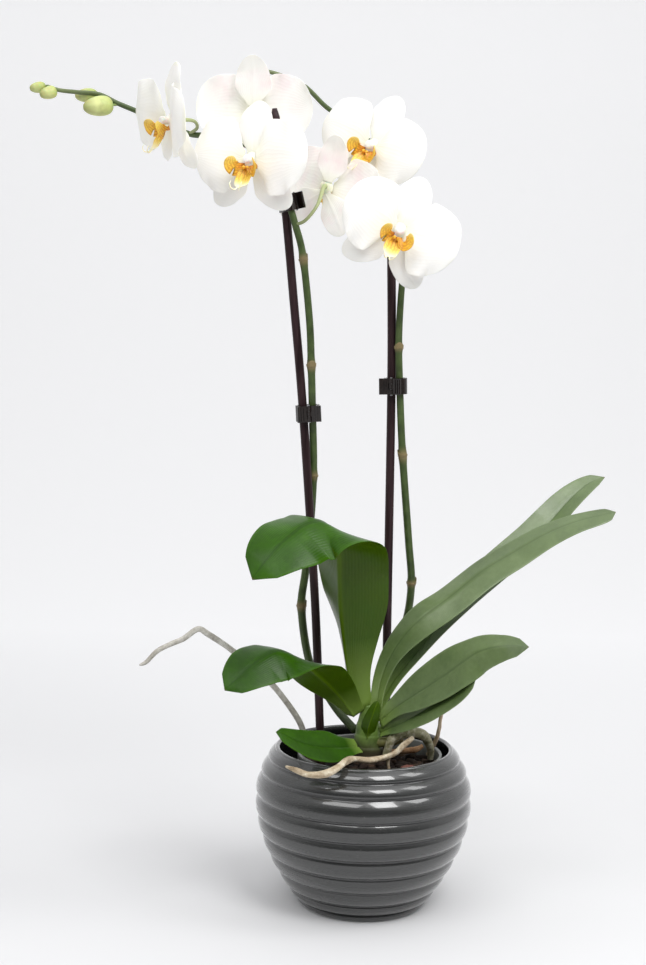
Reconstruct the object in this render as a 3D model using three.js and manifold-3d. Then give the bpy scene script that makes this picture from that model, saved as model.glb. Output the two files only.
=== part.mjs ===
// A two-spike moth orchid (Phalaenopsis) growing in a nursery pot that stands inside a
// ribbed ceramic pot. Millimetres, +Z up. The origin is the centre of the ceramic pot's foot.
// The front of the plant faces -Y.
import * as THREE from "three";
import { LoftGeometry } from "three/addons/geometries/LoftGeometry.js";
import { mergeVertices } from "three/addons/utils/BufferGeometryUtils.js";
import Module from "manifold-3d";

const wasm = await Module();
wasm.setup();

// ---------------------------------------------------------------- driving dimensions
const GAP = 0.3; // clearance between pieces that touch

const POT_HEIGHT = 128;
const POT_FOOT_RADIUS = 50.5;
const POT_BELLY_RADIUS = 88;
const POT_BELLY_HEIGHT = 88;
const POT_RIM_RADIUS = 72.8;
const POT_WALL = 5;
const POT_FLOOR = 8;
const POT_RIB_HEIGHTS = [6, 9.5, 13, 14, 15.5, 15, 16, 18, 11, 10]; // foot to rim, in proportion
const POT_RIB_DEPTH = 1.8;

const NURSERY_BELOW_RIM = 3.7; // how far its lip stands below the ceramic pot's rim
const NURSERY_MOUTH_GAP = 9.3; // between the two pots at the mouth, both being centred
const NURSERY_BASE_RADIUS = 43; // less where the ceramic pot's foot leaves less room
const NURSERY_WALL = 1.2;
const NURSERY_LIP_HEIGHT = 7;
const NURSERY_LIP_OVERHANG = 1.6;
const NURSERY_CENTRE = { x: 4.5, y: -5 }; // it stands a little off centre
const DRAIN_HOLES = 6;
const DRAIN_HOLE_RADIUS = 5;

const BARK_BELOW_LIP = 14; // how far the bark lies below the nursery pot's lip
const BARK_MOUND = 3;

const STAKE_RADIUS = 3.5;
const STAKE_DEPTH = 60; // how far a stake is pushed below the bark's surface
const STAKE_LEAN = 0.85; // its foot's distance from the pot's middle, as a share of its top's
const SPIKE_FOOT_RADIUS = 3.4;
const SPIKE_END_RADIUS = 1.5;
const SPIKE_NODE_SWELL = 0.9;
const PEDICEL_RADIUS = 1.5;
const OVARY_RADIUS = 2;
const COLUMN_RADIUS = 2.8;
const COLUMN_LENGTH = 9;

const LEAF_THICKNESS = 2.2;
const PETAL_THICKNESS = 1.1;
const LIP_THICKNESS = 1.1;

const CLIP_HEIGHT = 13;
const CLIP_WALL = 1.7;
const CLIP_PIN_RADIUS = 0.8;
const CLIP_KNUCKLE_RADIUS = 2.2;
const CLIP_HANDLE_LENGTH = 10;
const CLIP_HANDLE_LEAN = THREE.MathUtils.degToRad(18);
const CLIP_RIDGE_SPACING = 2.2;
const CLIP_RIDGE_HEIGHT = 0.5;
const CLIP_STEM_CLEARANCE = 0.9;

// ---------------------------------------------------------------- small tools
const vec = (p) => new THREE.Vector3(...p);
const curveOf = (points) => new THREE.CatmullRomCurve3(points.map(vec), false, "catmullrom", 0.5);
const smooth = (u) => THREE.MathUtils.smoothstep(u, 0, 1);

// The value at t of a list of numbers spread evenly from 0 to 1.
function along(values, t) {
  const u = THREE.MathUtils.clamp(t, 0, 1) * (values.length - 1);
  const i = Math.min(Math.floor(u), Math.max(values.length - 2, 0));
  const next = values[Math.min(i + 1, values.length - 1)];
  return THREE.MathUtils.lerp(values[i], next, u - i);
}

function solid(geometry) {
  const bare = new THREE.BufferGeometry();
  bare.setAttribute("position", geometry.getAttribute("position"));
  bare.setIndex(geometry.index);
  const merged = mergeVertices(bare, 1e-4);
  return new wasm.Manifold(
    new wasm.Mesh({
      numProp: 3,
      vertProperties: merged.attributes.position.array,
      triVerts: new Uint32Array(merged.index.array),
    }),
  );
}

function geometryOf(manifold) {
  const mesh = manifold.getMesh();
  const geometry = new THREE.BufferGeometry();
  geometry.setAttribute("position", new THREE.BufferAttribute(mesh.vertProperties, 3));
  geometry.setIndex(new THREE.BufferAttribute(mesh.triVerts, 1));
  geometry.computeVertexNormals();
  return geometry;
}

const joined = (pieces) => pieces.map(solid).reduce((whole, piece) => whole.add(piece));
const cutBy = (whole, cutters) =>
  cutters.map(solid).reduce((rest, cutter) => rest.subtract(cutter), whole);

// A round body about the Z axis from a closed profile of [radius, height] points.
function turned(profile, segments) {
  const points = profile.map(([r, z]) => new THREE.Vector2(r, z));
  return new THREE.LatheGeometry(points, segments).rotateX(Math.PI / 2);
}

// A round stem through the points, its radius following the list of radii.
function stem(points, radii, sides, steps) {
  const curve = curveOf(points);
  const frames = curve.computeFrenetFrames(steps, false);
  const sections = [];
  for (let i = 0; i <= steps; i++) {
    const t = curve.getUtoTmapping(i / steps);
    const centre = curve.getPoint(t);
    const radius = typeof radii === "function" ? radii(t) : along(radii, t);
    const ring = [];
    for (let k = 0; k < sides; k++) {
      const angle = (k / sides) * 2 * Math.PI;
      const out = frames.normals[i].clone().multiplyScalar(Math.cos(angle));
      out.addScaledVector(frames.binormals[i], Math.sin(angle));
      ring.push(centre.clone().addScaledVector(out, radius));
    }
    sections.push(ring);
  }
  return new LoftGeometry(sections, { capStart: true, capEnd: true });
}

// ---------------------------------------------------------------- blades
// A blade is a leaf, sepal or petal. spine is its midrib from base to tip, sides the
// direction of its width, half its greatest half width, base the share of that at the
// base, full where it has widened, narrow where it starts to narrow to the tip, power how
// blunt the tip is, fold the angle in degrees that each half rises from the midrib, and
// cup how far the edges bend towards the upper face, as a share of the half width.
function bladeFrame(blade, t) {
  const curve = curveOf(blade.spine);
  const ahead = curve.getPoint(Math.min(t + 1e-3, 1)).sub(curve.getPoint(Math.max(t - 1e-3, 0)));
  const tangent = ahead.normalize();
  const side = blade.sides.length > 1 ? curveOf(blade.sides).getPoint(t) : vec(blade.sides[0]);
  side.addScaledVector(tangent, -side.dot(tangent)).normalize();
  const normal = tangent.clone().cross(side);
  return { point: curve.getPoint(t), side, normal };
}

function halfWidth(blade, t) {
  const widening = blade.base + (1 - blade.base) * smooth(t / blade.full);
  const past = Math.max(0, (t - blade.narrow) / (1 - blade.narrow));
  return blade.half * widening * Math.sqrt(Math.max(0, 1 - past ** blade.power));
}

const WIDE_ACROSS = [1, 0.5, 0, -0.5, -1]; // where a leaf or petal has its section points
const SLIM_ACROSS = [1, 0, -1]; // the same for sepals and lips
const BLADE_END = 0.985; // the tip is cut off square just before its point

function bladeSolid(blade, thickness, across, steps, grow = 0) {
  const sections = [];
  for (let i = 0; i <= steps; i++) {
    const t = (i / steps) * BLADE_END;
    const { point, side, normal } = bladeFrame(blade, t);
    const width = halfWidth(blade, t) + grow;
    const fold = THREE.MathUtils.degToRad(along(blade.fold, t));
    const cup = along(blade.cup, t);
    const place = (x, lift) => {
      const rise = width * (Math.abs(x) * Math.sin(fold) + cup * x * x) + lift;
      const at = point.clone().addScaledVector(side, width * x * Math.cos(fold));
      return at.addScaledVector(normal, rise);
    };
    const half = (x) => (thickness / 2) * (1 - 0.9 * x * x) + grow;
    const upper = across.map((x) => place(x, half(x)));
    const lower = across.toReversed().map((x) => place(x, -half(x)));
    sections.push([...upper, ...lower]);
  }
  return new LoftGeometry(sections, { capStart: true, capEnd: true });
}

// ---------------------------------------------------------------- the two pots
// Radius of the ceramic pot's plain outline at height z, without ribs.
function potRadius(z) {
  if (z < POT_BELLY_HEIGHT) {
    const rise = Math.sin((Math.PI / 2) * (z / POT_BELLY_HEIGHT) ** 0.92);
    return POT_FOOT_RADIUS + (POT_BELLY_RADIUS - POT_FOOT_RADIUS) * rise;
  }
  const share = (z - POT_BELLY_HEIGHT) / (POT_HEIGHT - POT_BELLY_HEIGHT);
  return POT_BELLY_RADIUS - (POT_BELLY_RADIUS - POT_RIM_RADIUS) * share ** 2;
}

function outerPot() {
  const total = POT_RIB_HEIGHTS.reduce((sum, rib) => sum + rib, 0);
  const profile = [[0, 0]];
  let z = 0;
  profile.push([POT_FOOT_RADIUS - POT_RIB_DEPTH, 0]);
  for (const rib of POT_RIB_HEIGHTS) {
    const height = (rib / total) * POT_HEIGHT;
    const middle = z + height / 2;
    profile.push([potRadius(middle), middle]);
    z += height;
    if (z < POT_HEIGHT - 1) profile.push([potRadius(z) - POT_RIB_DEPTH, z]);
  }
  profile.push([POT_RIM_RADIUS - POT_WALL * 0.3, POT_HEIGHT]);
  profile.push([POT_RIM_RADIUS - POT_WALL * 0.7, POT_HEIGHT]);
  const steps = 6;
  for (let i = 0; i <= steps; i++) {
    const height = THREE.MathUtils.lerp(POT_HEIGHT - POT_WALL / 2, POT_FLOOR, i / steps);
    profile.push([potRadius(height) - POT_WALL - POT_RIB_DEPTH, height]);
  }
  profile.push([0, POT_FLOOR]);
  return turned(profile, 36);
}

const NURSERY_FLOOR = POT_FLOOR + GAP;
const NURSERY_RIM = POT_HEIGHT - NURSERY_BELOW_RIM;
const NURSERY_HEIGHT = NURSERY_RIM - NURSERY_FLOOR;
const NURSERY_TOP_RADIUS = POT_RIM_RADIUS - POT_WALL - NURSERY_MOUTH_GAP;
const NURSERY_OFF_CENTRE = Math.hypot(NURSERY_CENTRE.x, NURSERY_CENTRE.y);
const POT_FLOOR_RADIUS = potRadius(POT_FLOOR) - POT_WALL - POT_RIB_DEPTH;
const NURSERY_FOOT_RADIUS = Math.min(NURSERY_BASE_RADIUS, POT_FLOOR_RADIUS - NURSERY_OFF_CENTRE - 2 * GAP);
const BARK_TOP = NURSERY_RIM - BARK_BELOW_LIP;

// Outer radius of the nursery pot's wall at height z.
function nurseryRadius(z) {
  const share = (z - NURSERY_FLOOR) / NURSERY_HEIGHT;
  return THREE.MathUtils.lerp(NURSERY_FOOT_RADIUS, NURSERY_TOP_RADIUS - NURSERY_LIP_OVERHANG, share);
}

function nurseryPot() {
  const lipFoot = NURSERY_RIM - NURSERY_LIP_HEIGHT;
  const floorTop = NURSERY_FLOOR + NURSERY_WALL;
  const shell = turned(
    [
      [0, NURSERY_FLOOR],
      [NURSERY_FOOT_RADIUS, NURSERY_FLOOR],
      [nurseryRadius(lipFoot), lipFoot],
      [NURSERY_TOP_RADIUS, lipFoot],
      [NURSERY_TOP_RADIUS, NURSERY_RIM],
      [nurseryRadius(NURSERY_RIM) - NURSERY_WALL, NURSERY_RIM],
      [nurseryRadius(floorTop) - NURSERY_WALL, floorTop],
      [0, floorTop],
    ],
    36,
  );
  const holes = [];
  for (let i = 0; i < DRAIN_HOLES; i++) {
    const angle = (i / DRAIN_HOLES) * 2 * Math.PI;
    const reach = NURSERY_FOOT_RADIUS * 0.62;
    const hole = new THREE.CylinderGeometry(DRAIN_HOLE_RADIUS, DRAIN_HOLE_RADIUS, 4 * NURSERY_WALL, 10);
    hole.rotateX(Math.PI / 2);
    holes.push(hole.translate(reach * Math.cos(angle), reach * Math.sin(angle), NURSERY_FLOOR));
  }
  return geometryOf(cutBy(solid(shell), holes)).translate(NURSERY_CENTRE.x, NURSERY_CENTRE.y, 0);
}

// ---------------------------------------------------------------- stakes and spikes
// The right and back of each stake, where its spike lies, and from those the stake's middle.
const STAKE_SIDES = {
  left: [[-31.5, 19, 8], [-38.5, 20.5, 134], [-50.5, 17.5, 287], [-59.5, 13.5, 378], [-67.5, 8.5, 455],
    [-76.5, 2.5, 526]],
  right: [[22, 29.5, 8], [21.5, 28.5, 108], [20.5, 17.5, 310], [18.5, 17.5, 409], [17.5, 17.5, 450]],
};
const middleOf = (sides) => sides.map(([x, y, z]) => [x - STAKE_RADIUS, y - STAKE_RADIUS, z]);
const STAKE_ROUTES = { left: middleOf(STAKE_SIDES.left), right: middleOf(STAKE_SIDES.right) };

function stake(route, radius) {
  const [first] = route;
  const { x, y } = NURSERY_CENTRE;
  const foot = [
    THREE.MathUtils.lerp(x, first[0], STAKE_LEAN),
    THREE.MathUtils.lerp(y, first[1], STAKE_LEAN),
    -STAKE_DEPTH,
  ];
  const section = new THREE.Shape();
  section.absarc(0, 0, radius, 0, 2 * Math.PI);
  return new THREE.ExtrudeGeometry(section, {
    extrudePath: curveOf([foot, ...route]),
    steps: 14,
    curveSegments: 5,
    bevelEnabled: false,
  });
}

const SPIKE_ROUTES = {
  left: [
    [-6, 7, 27], [-22, 20, 42], [-36, 27, 62], [-47, 26, 85], [-53, 24, 127], [-50, 26, 158],
    [-46, 24, 208], [-45, 21, 245], [-46.5, 15, 287], [-48, 9, 327], [-50, 6, 362], [-56, 2, 412],
    [-62, -0.5, 435], [-68, -2.2, 453], [-75, -6, 470], [-88, -12, 488], [-110, -13, 499],
    [-130, -7, 503], [-147, 4, 506], [-167, 12, 515], [-189, 12, 524], [-205, 10, 530],
    [-219, 7, 536], [-236, 4, 537], [-250, 2, 538], [-260, 1, 541],
  ],
  right: [
    [7, 12, 29], [8, 24, 50], [14, 33, 74], [24, 38, 95], [34, 37, 114], [37.5, 30, 147],
    [34, 23, 184], [27, 15.5, 257],
    [23.5, 10.5, 310], [22, 8.8, 346], [23, 11.5, 379], [25, 16, 410], [25, 24, 435],
    [19, 35, 467], [3, 42, 501], [-20, 42, 522], [-40, 36, 535], [-58, 29, 550], [-81, 23, 558],
    [-108, 18, 562],
  ],
};
const SPIKE_JOINTS = {
  left: [0.161, 0.27, 0.358, 0.437],
  right: [0.264, 0.366, 0.465],
};

// Radius of a spike at t, a little swollen at each joint.
function spikeRadius(joints) {
  return (t) => {
    const plain = THREE.MathUtils.lerp(SPIKE_FOOT_RADIUS, SPIKE_END_RADIUS, t ** 1.5);
    const swell = joints.reduce((sum, joint) => sum + Math.exp(-(((t - joint) / 0.008) ** 2)), 0);
    return plain + SPIKE_NODE_SWELL * swell;
  };
}

// ---------------------------------------------------------------- flowers
// centre is where the petals meet, facing the way the flower looks, and roll turns it
// clockwise as seen by someone it faces. pedicel runs from its spike to just behind it.
const FLOWERS = {
  flower_end: {
    spike: "left", centre: [-158, -34, 510], facing: [-0.86, -0.48, -0.16], roll: 14, size: 0.97, sweep: 9,
    pedicel: [[-147, 4, 506], [-140, -8, 509], [-142, -21, 512]],
  },
  flower_left_front: {
    spike: "left", centre: [-96, -34, 481], facing: [-0.4, -0.91, -0.03], roll: 5, size: 1.03, sweep: 3,
    pedicel: [[-108, -13, 498], [-98, -15, 494], [-93, -21, 485]],
  },
  flower_left_back: {
    spike: "left", centre: [-97, 14, 525], facing: [0.08, 1, 0.12], roll: 0, size: 1, sweep: 3,
    pedicel: [[-92, -12.5, 490], [-96, -13, 504], [-97, -5, 518]],
  },
  flower_low_back: {
    spike: "left", centre: [-38, 8, 466], facing: [0.48, 0.88, 0], roll: -18, size: 0.95, sweep: 7,
    pedicel: [[-62, -0.6, 436], [-54, -7, 439], [-45, -6, 451]],
  },
  flower_right_back: {
    spike: "right", centre: [-2, 18, 501], facing: [-0.4, -0.91, 0.05], roll: 25, size: 1, sweep: 3,
    pedicel: [[14, 37, 478], [9, 38, 490], [4, 32, 499]],
  },
  flower_right_front: {
    spike: "right", centre: [18, -36, 429], facing: [0.05, -1, -0.05], roll: 25, size: 1.02, sweep: 3,
    pedicel: [[25, 17, 414], [30, 4, 422], [26, -14, 431], [19, -26, 431]],
  },
};
const PETAL_REACH = 47;
const SEPAL_REACH = 44;
const LIP_REACH = 22;

function flowerBlades(size, sweep) {
  const s = (points) => points.map((p) => p.map((v) => v * size));
  const r = PETAL_REACH;
  const q = SEPAL_REACH;
  const l = LIP_REACH;
  const petal = (way) => ({
    spine: s([[4.6 * way, 1, 2.5], [0.33 * r * way, 2, 3 + sweep * 0.4], [0.68 * r * way, 3, 3 + sweep],
      [r * way, 2, sweep]]),
    sides: [[0, way, 0]], half: 28 * size, base: 0.2, full: 0.4, narrow: 0.38, power: 2.3,
    fold: [0, 0, 0], cup: [0, -0.08, -0.14],
  });
  const lateral = (way) => ({
    spine: s([[1.6 * way, -4.6, -1.8], [0.26 * q * way, -0.31 * q, -2], [0.5 * q * way, -0.55 * q, -3],
      [0.72 * q * way, -0.73 * q, -7]]),
    sides: [[0.7, 0.72 * way, 0]], half: 13.5 * size, base: 0.3, full: 0.45, narrow: 0.35, power: 2,
    fold: [0, 0, 0], cup: [0, -0.05, -0.1],
  });
  const lobe = (way) => ({
    spine: s([[2.4 * way, -5.8, 4.5], [0.34 * l * way, -7.5, 10], [0.44 * l * way, -4, 13.5],
      [0.38 * l * way, 1, 15.5]]),
    sides: [[0, -0.3, way]], half: 5 * size, base: 0.5, full: 0.4, narrow: 0.4, power: 2.2,
    fold: [0, 0, 0], cup: [0, 0, 0],
  });
  return {
    dorsal_sepal: [{
      spine: s([[0, 4.6, -1.8], [0, 0.37 * q, -2], [0, 0.7 * q, -3], [0, q, -7]]),
      sides: [[-1, 0, 0]], half: 15 * size, base: 0.3, full: 0.45, narrow: 0.35, power: 2,
      fold: [0, 0, 0], cup: [0, -0.05, -0.1],
    }],
    lower_sepals: [lateral(1), lateral(-1)],
    petal_left: [petal(-1)],
    petal_right: [petal(1)],
    lip: [
      {
        spine: s([[0, -5.2, 3.5], [0, -0.55 * l, 7], [0, -0.86 * l, 12], [0, -l, 18]]),
        sides: [[1, 0, 0]], half: 7 * size, base: 0.55, full: 0.35, narrow: 0.4, power: 1.6,
        fold: [25, 20, 10], cup: [0, 0, 0],
      },
      lobe(1),
      lobe(-1),
    ],
  };
}

function flowerMatrix({ centre, facing, roll }) {
  const z = vec(facing).normalize();
  const x0 = new THREE.Vector3(0, 0, 1).cross(z).normalize();
  const y0 = z.clone().cross(x0);
  const angle = THREE.MathUtils.degToRad(roll);
  const y = y0.clone().multiplyScalar(Math.cos(angle)).addScaledVector(x0, Math.sin(angle));
  const x = y.clone().cross(z);
  return new THREE.Matrix4().makeBasis(x, y, z).setPosition(vec(centre));
}

function pedicelAndColumn(flower) {
  const centre = vec(flower.centre);
  const facing = vec(flower.facing).normalize();
  const tip = centre.clone().addScaledVector(facing, COLUMN_LENGTH * flower.size);
  const back = centre.clone().addScaledVector(facing, -5);
  const points = [...flower.pedicel, back.toArray(), centre.toArray(), tip.toArray()];
  const radii = [];
  for (let i = 0; i < points.length - 3; i++) radii.push(PEDICEL_RADIUS);
  radii.push(OVARY_RADIUS, COLUMN_RADIUS, COLUMN_RADIUS);
  return stem(points, radii, 6, 10);
}

// ---------------------------------------------------------------- buds
// Each bud grows from a point on the left spike; the oldest and largest come first.
const BUDS = [
  { from: [-205, 10, 529], tip: [-230, -2, 524], radius: 8, length: 21 },
  { from: [-216, 8, 536], tip: [-239, 14, 536], radius: 5.6, length: 16 },
  { from: [-250, 2, 538], tip: [-264, -3, 533], radius: 5, length: 12 },
  { from: [-258, 1.5, 541], tip: [-273, 3, 539], radius: 4.3, length: 11 },
];

function bud({ from, tip, radius, length }) {
  const end = vec(tip);
  const way = end.clone().sub(vec(from)).normalize();
  const start = end.clone().addScaledVector(way, -length);
  const points = [from, start.toArray(), end.toArray()];
  const swell = (t) => 1.1 + (radius - 1.1) * Math.sin(Math.PI * smooth((t - 0.35) / 0.65)) ** 0.8;
  return stem(points, (t) => (t < 0.35 ? 1.1 : swell(t)), 7, 10);
}

function spike(name, grow = 0) {
  const base = spikeRadius(SPIKE_JOINTS[name]);
  const parts = [stem(SPIKE_ROUTES[name], (t) => base(t) + grow, 7, name === "left" ? 56 : 46)];
  for (const flower of Object.values(FLOWERS)) {
    if (flower.spike === name) parts.push(pedicelAndColumn(flower));
  }
  if (name === "left") parts.push(...BUDS.map(bud));
  return joined(parts);
}

// ---------------------------------------------------------------- leaves
// From the front of the crown to the back: a leaf is trimmed where it meets one before it.
const LEAVES = {
  leaf_crown: {
    spine: [[2, -13, 27], [3, -15, 37], [6, -15, 47], [10, -13, 58]],
    sides: [[1, -0.1, 0]], half: 8, base: 0.8, full: 0.5, narrow: 0.2, power: 1.6,
    fold: [35, 30, 20], cup: [0, -0.05, -0.1],
  },
  leaf_front_small: {
    spine: [[-6, -17, 21], [-24, -35, 25], [-46, -54, 32], [-70, -68, 45]],
    sides: [[0.3, -0.8, -0.5], [0.1, -0.8, -0.6], [0.1, -0.8, -0.6], [0.1, -0.8, -0.6]],
    half: 15, base: 0.5, full: 0.5, narrow: 0.4, power: 1.8, fold: [10, 5, 5], cup: [0, -0.05, -0.1],
  },
  leaf_left_low: {
    spine: [[-9, -9, 44], [-17, -15, 57], [-27, -21, 70], [-39, -30, 83], [-50, -39, 94],
      [-61, -47, 102], [-71, -54, 105], [-81, -60, 101], [-91, -66, 94], [-100, -71, 86], [-109, -75, 78]],
    sides: [[0.8, -0.3, 0.2], [0.7, -0.4, 0.4], [0.65, -0.5, 0.45], [0.65, -0.55, 0.35], [0.65, -0.65, 0.1],
      [0.55, -0.75, -0.25], [0.5, -0.75, -0.4], [0.45, -0.68, -0.5], [0.42, -0.62, -0.6],
      [0.4, -0.6, -0.6], [0.4, -0.6, -0.6]],
    half: 26, base: 0.4, full: 0.35, narrow: 0.56, power: 1.7, fold: [30, 14, 6, 4, -4, -16, -20, -14, -2, 8, 10],
    cup: [0, -0.05, -0.1, -0.1],
  },
  leaf_right_mid: {
    spine: [[12, -10, 40], [26, -19, 55], [40, -27, 67], [60, -38, 84], [74, -46, 97], [86, -53, 107],
      [103, -61, 113], [122, -68, 114]],
    sides: [[0.7, -0.5, -0.3], [0.5, -0.7, -0.4], [0.4, -0.7, -0.55], [0.4, -0.7, -0.55],
      [0.35, -0.7, -0.6], [0.3, -0.65, -0.65], [0.2, -0.65, -0.7], [0.2, -0.65, -0.7]],
    half: 19, base: 0.32, full: 0.45, narrow: 0.53, power: 1.5, fold: [-25, -12, -7, 4, 20, 26, 16],
    cup: [0, -0.05, -0.1],
  },
  leaf_right_under: {
    spine: [[13, -10, 31], [29, -22, 42], [50, -35, 58], [68, -45, 72], [84, -54, 87]],
    sides: [[0.6, -0.7, -0.3], [0.5, -0.7, -0.5], [0.4, -0.7, -0.6], [0.4, -0.7, -0.6], [0.4, -0.7, -0.6]],
    half: 14, base: 0.32, full: 0.5, narrow: 0.5, power: 2.2, fold: [-30, -18, -8], cup: [0, -0.05, -0.1],
  },
  leaf_left_tall: {
    spine: [[-5, -8, 47], [-14, -12, 80], [-19, -17, 109], [-22, -23, 136], [-23, -29, 160],
      [-24, -36, 182], [-29, -44, 199], [-38, -51, 206], [-50, -58, 204], [-60, -63, 197], [-70, -68, 188],
      [-80, -73, 176], [-89, -76, 163]],
    sides: [[0.9, -0.3, 0], [0.75, -0.66, 0], [0.75, -0.66, 0], [0.8, -0.6, 0], [0.84, -0.54, 0],
      [0.86, -0.45, -0.25], [0.74, -0.55, -0.35], [0.6, -0.65, -0.37], [0.5, -0.75, -0.43],
      [0.48, -0.68, -0.55], [0.45, -0.6, -0.64], [0.45, -0.55, -0.68], [0.45, -0.55, -0.68]],
    half: 39, base: 0.32, full: 0.27, narrow: 0.5, power: 1.6,
    fold: [33, 42, 42, 36, 33, 20, 0, -18, -20, -16, -6, 4, 8],
    cup: [0, -0.03, -0.06, -0.1],
  },
  leaf_right_long_front: {
    spine: [[9, -6, 48], [12, -6, 70], [19, -5, 90], [30, -4, 108], [45, -3, 124], [66, -1, 140],
      [93, 1, 162], [119, 3, 178], [143, 5, 192], [167, 7, 202], [190, 9, 208], [201, 10, 211]],
    sides: [[1, -0.3, 0], [0.9, -0.5, -0.2], [0.7, -0.65, -0.3], [0.5, -0.7, -0.5], [0.4, -0.7, -0.55],
      [0.35, -0.8, -0.45], [0.3, -0.85, -0.42], [0.3, -0.85, -0.42], [0.3, -0.85, -0.42],
      [0.25, -0.85, -0.42], [0.2, -0.85, -0.45], [0.2, -0.85, -0.45]],
    half: 18.5, base: 0.3, full: 0.5, narrow: 0.54, power: 1.4, fold: [-30, -10, 8, 14, 14, 12, 10, 6],
    cup: [0, -0.05, -0.1],
  },
  leaf_right_long_back: {
    spine: [[10, 5, 45], [24, 9, 69], [41, 14, 90], [59, 19, 111], [78, 24, 130], [98, 30, 148],
      [119, 36, 166], [138, 42, 182], [154, 48, 198], [166, 54, 211], [178, 60, 222], [190, 66, 230],
      [203, 70, 235]],
    sides: [[0.9, -0.4, -0.2], [0.7, -0.6, -0.4], [0.6, -0.7, -0.4], [0.5, -0.7, -0.5], [0.5, -0.7, -0.5],
      [0.5, -0.7, -0.5], [0.5, -0.7, -0.5]],
    half: 16.5, base: 0.34, full: 0.45, narrow: 0.55, power: 1.4, fold: [-30, -28, -24, -22, -18, -10, -4],
    cup: [0, -0.05, -0.1],
  },
};

// ---------------------------------------------------------------- stem base and roots
const CROWN = { x: 3, y: -3, foot: -8, top: 53, radii: [11.5, 12.5, 10, 5] };

function stemBase(grow) {
  const rise = CROWN.top - CROWN.foot;
  const at = (share) => [CROWN.x, CROWN.y, CROWN.foot - grow + share * (rise + 2 * grow)];
  const trunk = stem([at(0), at(0.4), at(0.7), at(1)], CROWN.radii.map((r) => r + grow), 12, 8);
  const oldSpike = stem(
    [[6, -6, 22], [20, -11, 24], [31, -12, 27.5]], [4.2, 4.4, 3.2].map((r) => r + grow), 8, 4,
  );
  const stub = stem(
    [[8, 2, 26], [26, 4, 31], [43, 2, 41]], [3.6, 3.4, 2.6].map((r) => r + grow), 8, 5,
  );
  return joined([trunk, oldSpike, stub]);
}

// A place beyond the ceramic pot's rim, in the given direction.
function beyondRim(degrees, reach, z) {
  const angle = THREE.MathUtils.degToRad(degrees);
  const radius = POT_RIM_RADIUS + reach;
  return [radius * Math.cos(angle), radius * Math.sin(angle), z];
}

const ROOTS = {
  root_aerial_left: {
    route: [[-43, 6, 8], [-48, 10, 20], [-53, 13, 33], [-63, 13, 48], [-75, 9, 64], [-90, 1, 80],
      [-111, -8, 98], [-127, -14, 110], [-135, -16, 114], [-146, -20, 107], [-156, -24, 103],
      [-166, -28, 98], [-174, -32, 90], [-179, -34, 88]],
    radii: [2.9, 2.8, 2.7, 2.7, 2.6, 2.5, 2.5, 2.6, 2.6, 2.3, 2.2, 2.1, 1.7, 1.0], steps: 26,
  },
  root_over_rim: {
    route: [[38, -30, 33], [30, -33, 27], [22, -37, 21], [5, -46, 18], [-9, -55, 21.5],
      beyondRim(-103, -3, 23), beyondRim(-105.5, 9, 21), beyondRim(-110, 17, 18),
      beyondRim(-117.5, 23, 17), beyondRim(-124, 24, 19), beyondRim(-130, 24, 20)],
    radii: [2.2, 2.8, 2.9, 3, 3.2, 3.2, 3.6, 3.6, 3.2, 2.4, 1.2], steps: 22,
  },
  root_brown: {
    route: [[20, -4, 14], [30, 6, 12], [38, 12, 11], [44, 16, 11], [49, 19, 13]],
    radii: [1.6, 2.5, 2.7, 2.6, 1.8], steps: 10,
  },
  root_upright: {
    route: [[52, 2, 10], [58, -4, 24], [60, -9, 35], [61, -11, 45], [64, -13, 55]],
    radii: [1.9, 1.9, 1.7, 1.5, 1.0], steps: 9,
  },
  root_arch: {
    route: [[17, -17, 14], [22, -18, 28], [34, -17, 33], [46, -13, 31], [53, -7, 20], [54, -3, 8]],
    radii: [3, 4, 4.6, 4.4, 3.4, 2.6], steps: 12,
  },
};

function root({ route, radii, steps }, grow = 0) {
  return stem(route, radii.map((r) => r + grow), 7, steps);
}

// Bark fills the nursery pot. Whatever grows or is pushed into it is cut out of it.
function bark(buried) {
  const floorTop = NURSERY_FLOOR + NURSERY_WALL + GAP;
  const inside = (z) => nurseryRadius(z) - NURSERY_WALL - GAP;
  const heap = turned(
    [
      [0, floorTop],
      [inside(floorTop), floorTop],
      [inside(BARK_TOP), BARK_TOP],
      [inside(BARK_TOP) * 0.6, BARK_TOP + BARK_MOUND],
      [inside(BARK_TOP) * 0.25, BARK_TOP + BARK_MOUND / 2],
      [0, BARK_TOP + BARK_MOUND],
    ],
    30,
  );
  heap.translate(NURSERY_CENTRE.x, NURSERY_CENTRE.y, -BARK_TOP);
  return buried.reduce((rest, piece) => rest.subtract(piece), solid(heap));
}

// ---------------------------------------------------------------- clips
// A clip holds a stake and a spike side by side. In its own frame Z runs along the stems,
// X from the stake to the spike, or the other way when swapped, and the spring pin stands
// at the origin, to one side of the two.
const CLIPS = {
  clip_left_mid: { stake: "left", height: 287 },
  clip_left_top: { stake: "left", height: 453, swapped: true },
  clip_right_mid: { stake: "right", height: 310 },
};
const CLIP_INSIDE_Y = Math.max(STAKE_RADIUS, SPIKE_FOOT_RADIUS) + CLIP_STEM_CLEARANCE;
const CLIP_STEM_DISTANCE = CLIP_INSIDE_Y + CLIP_WALL + CLIP_KNUCKLE_RADIUS * 0.7; // pin to stems

function stadium(path, halfX, halfY, centreY) {
  path.moveTo(halfX - halfY, centreY - halfY);
  path.absarc(halfX - halfY, centreY, halfY, -Math.PI / 2, Math.PI / 2);
  path.absarc(-(halfX - halfY), centreY, halfY, Math.PI / 2, (3 * Math.PI) / 2);
  path.closePath();
  return path;
}

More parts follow.
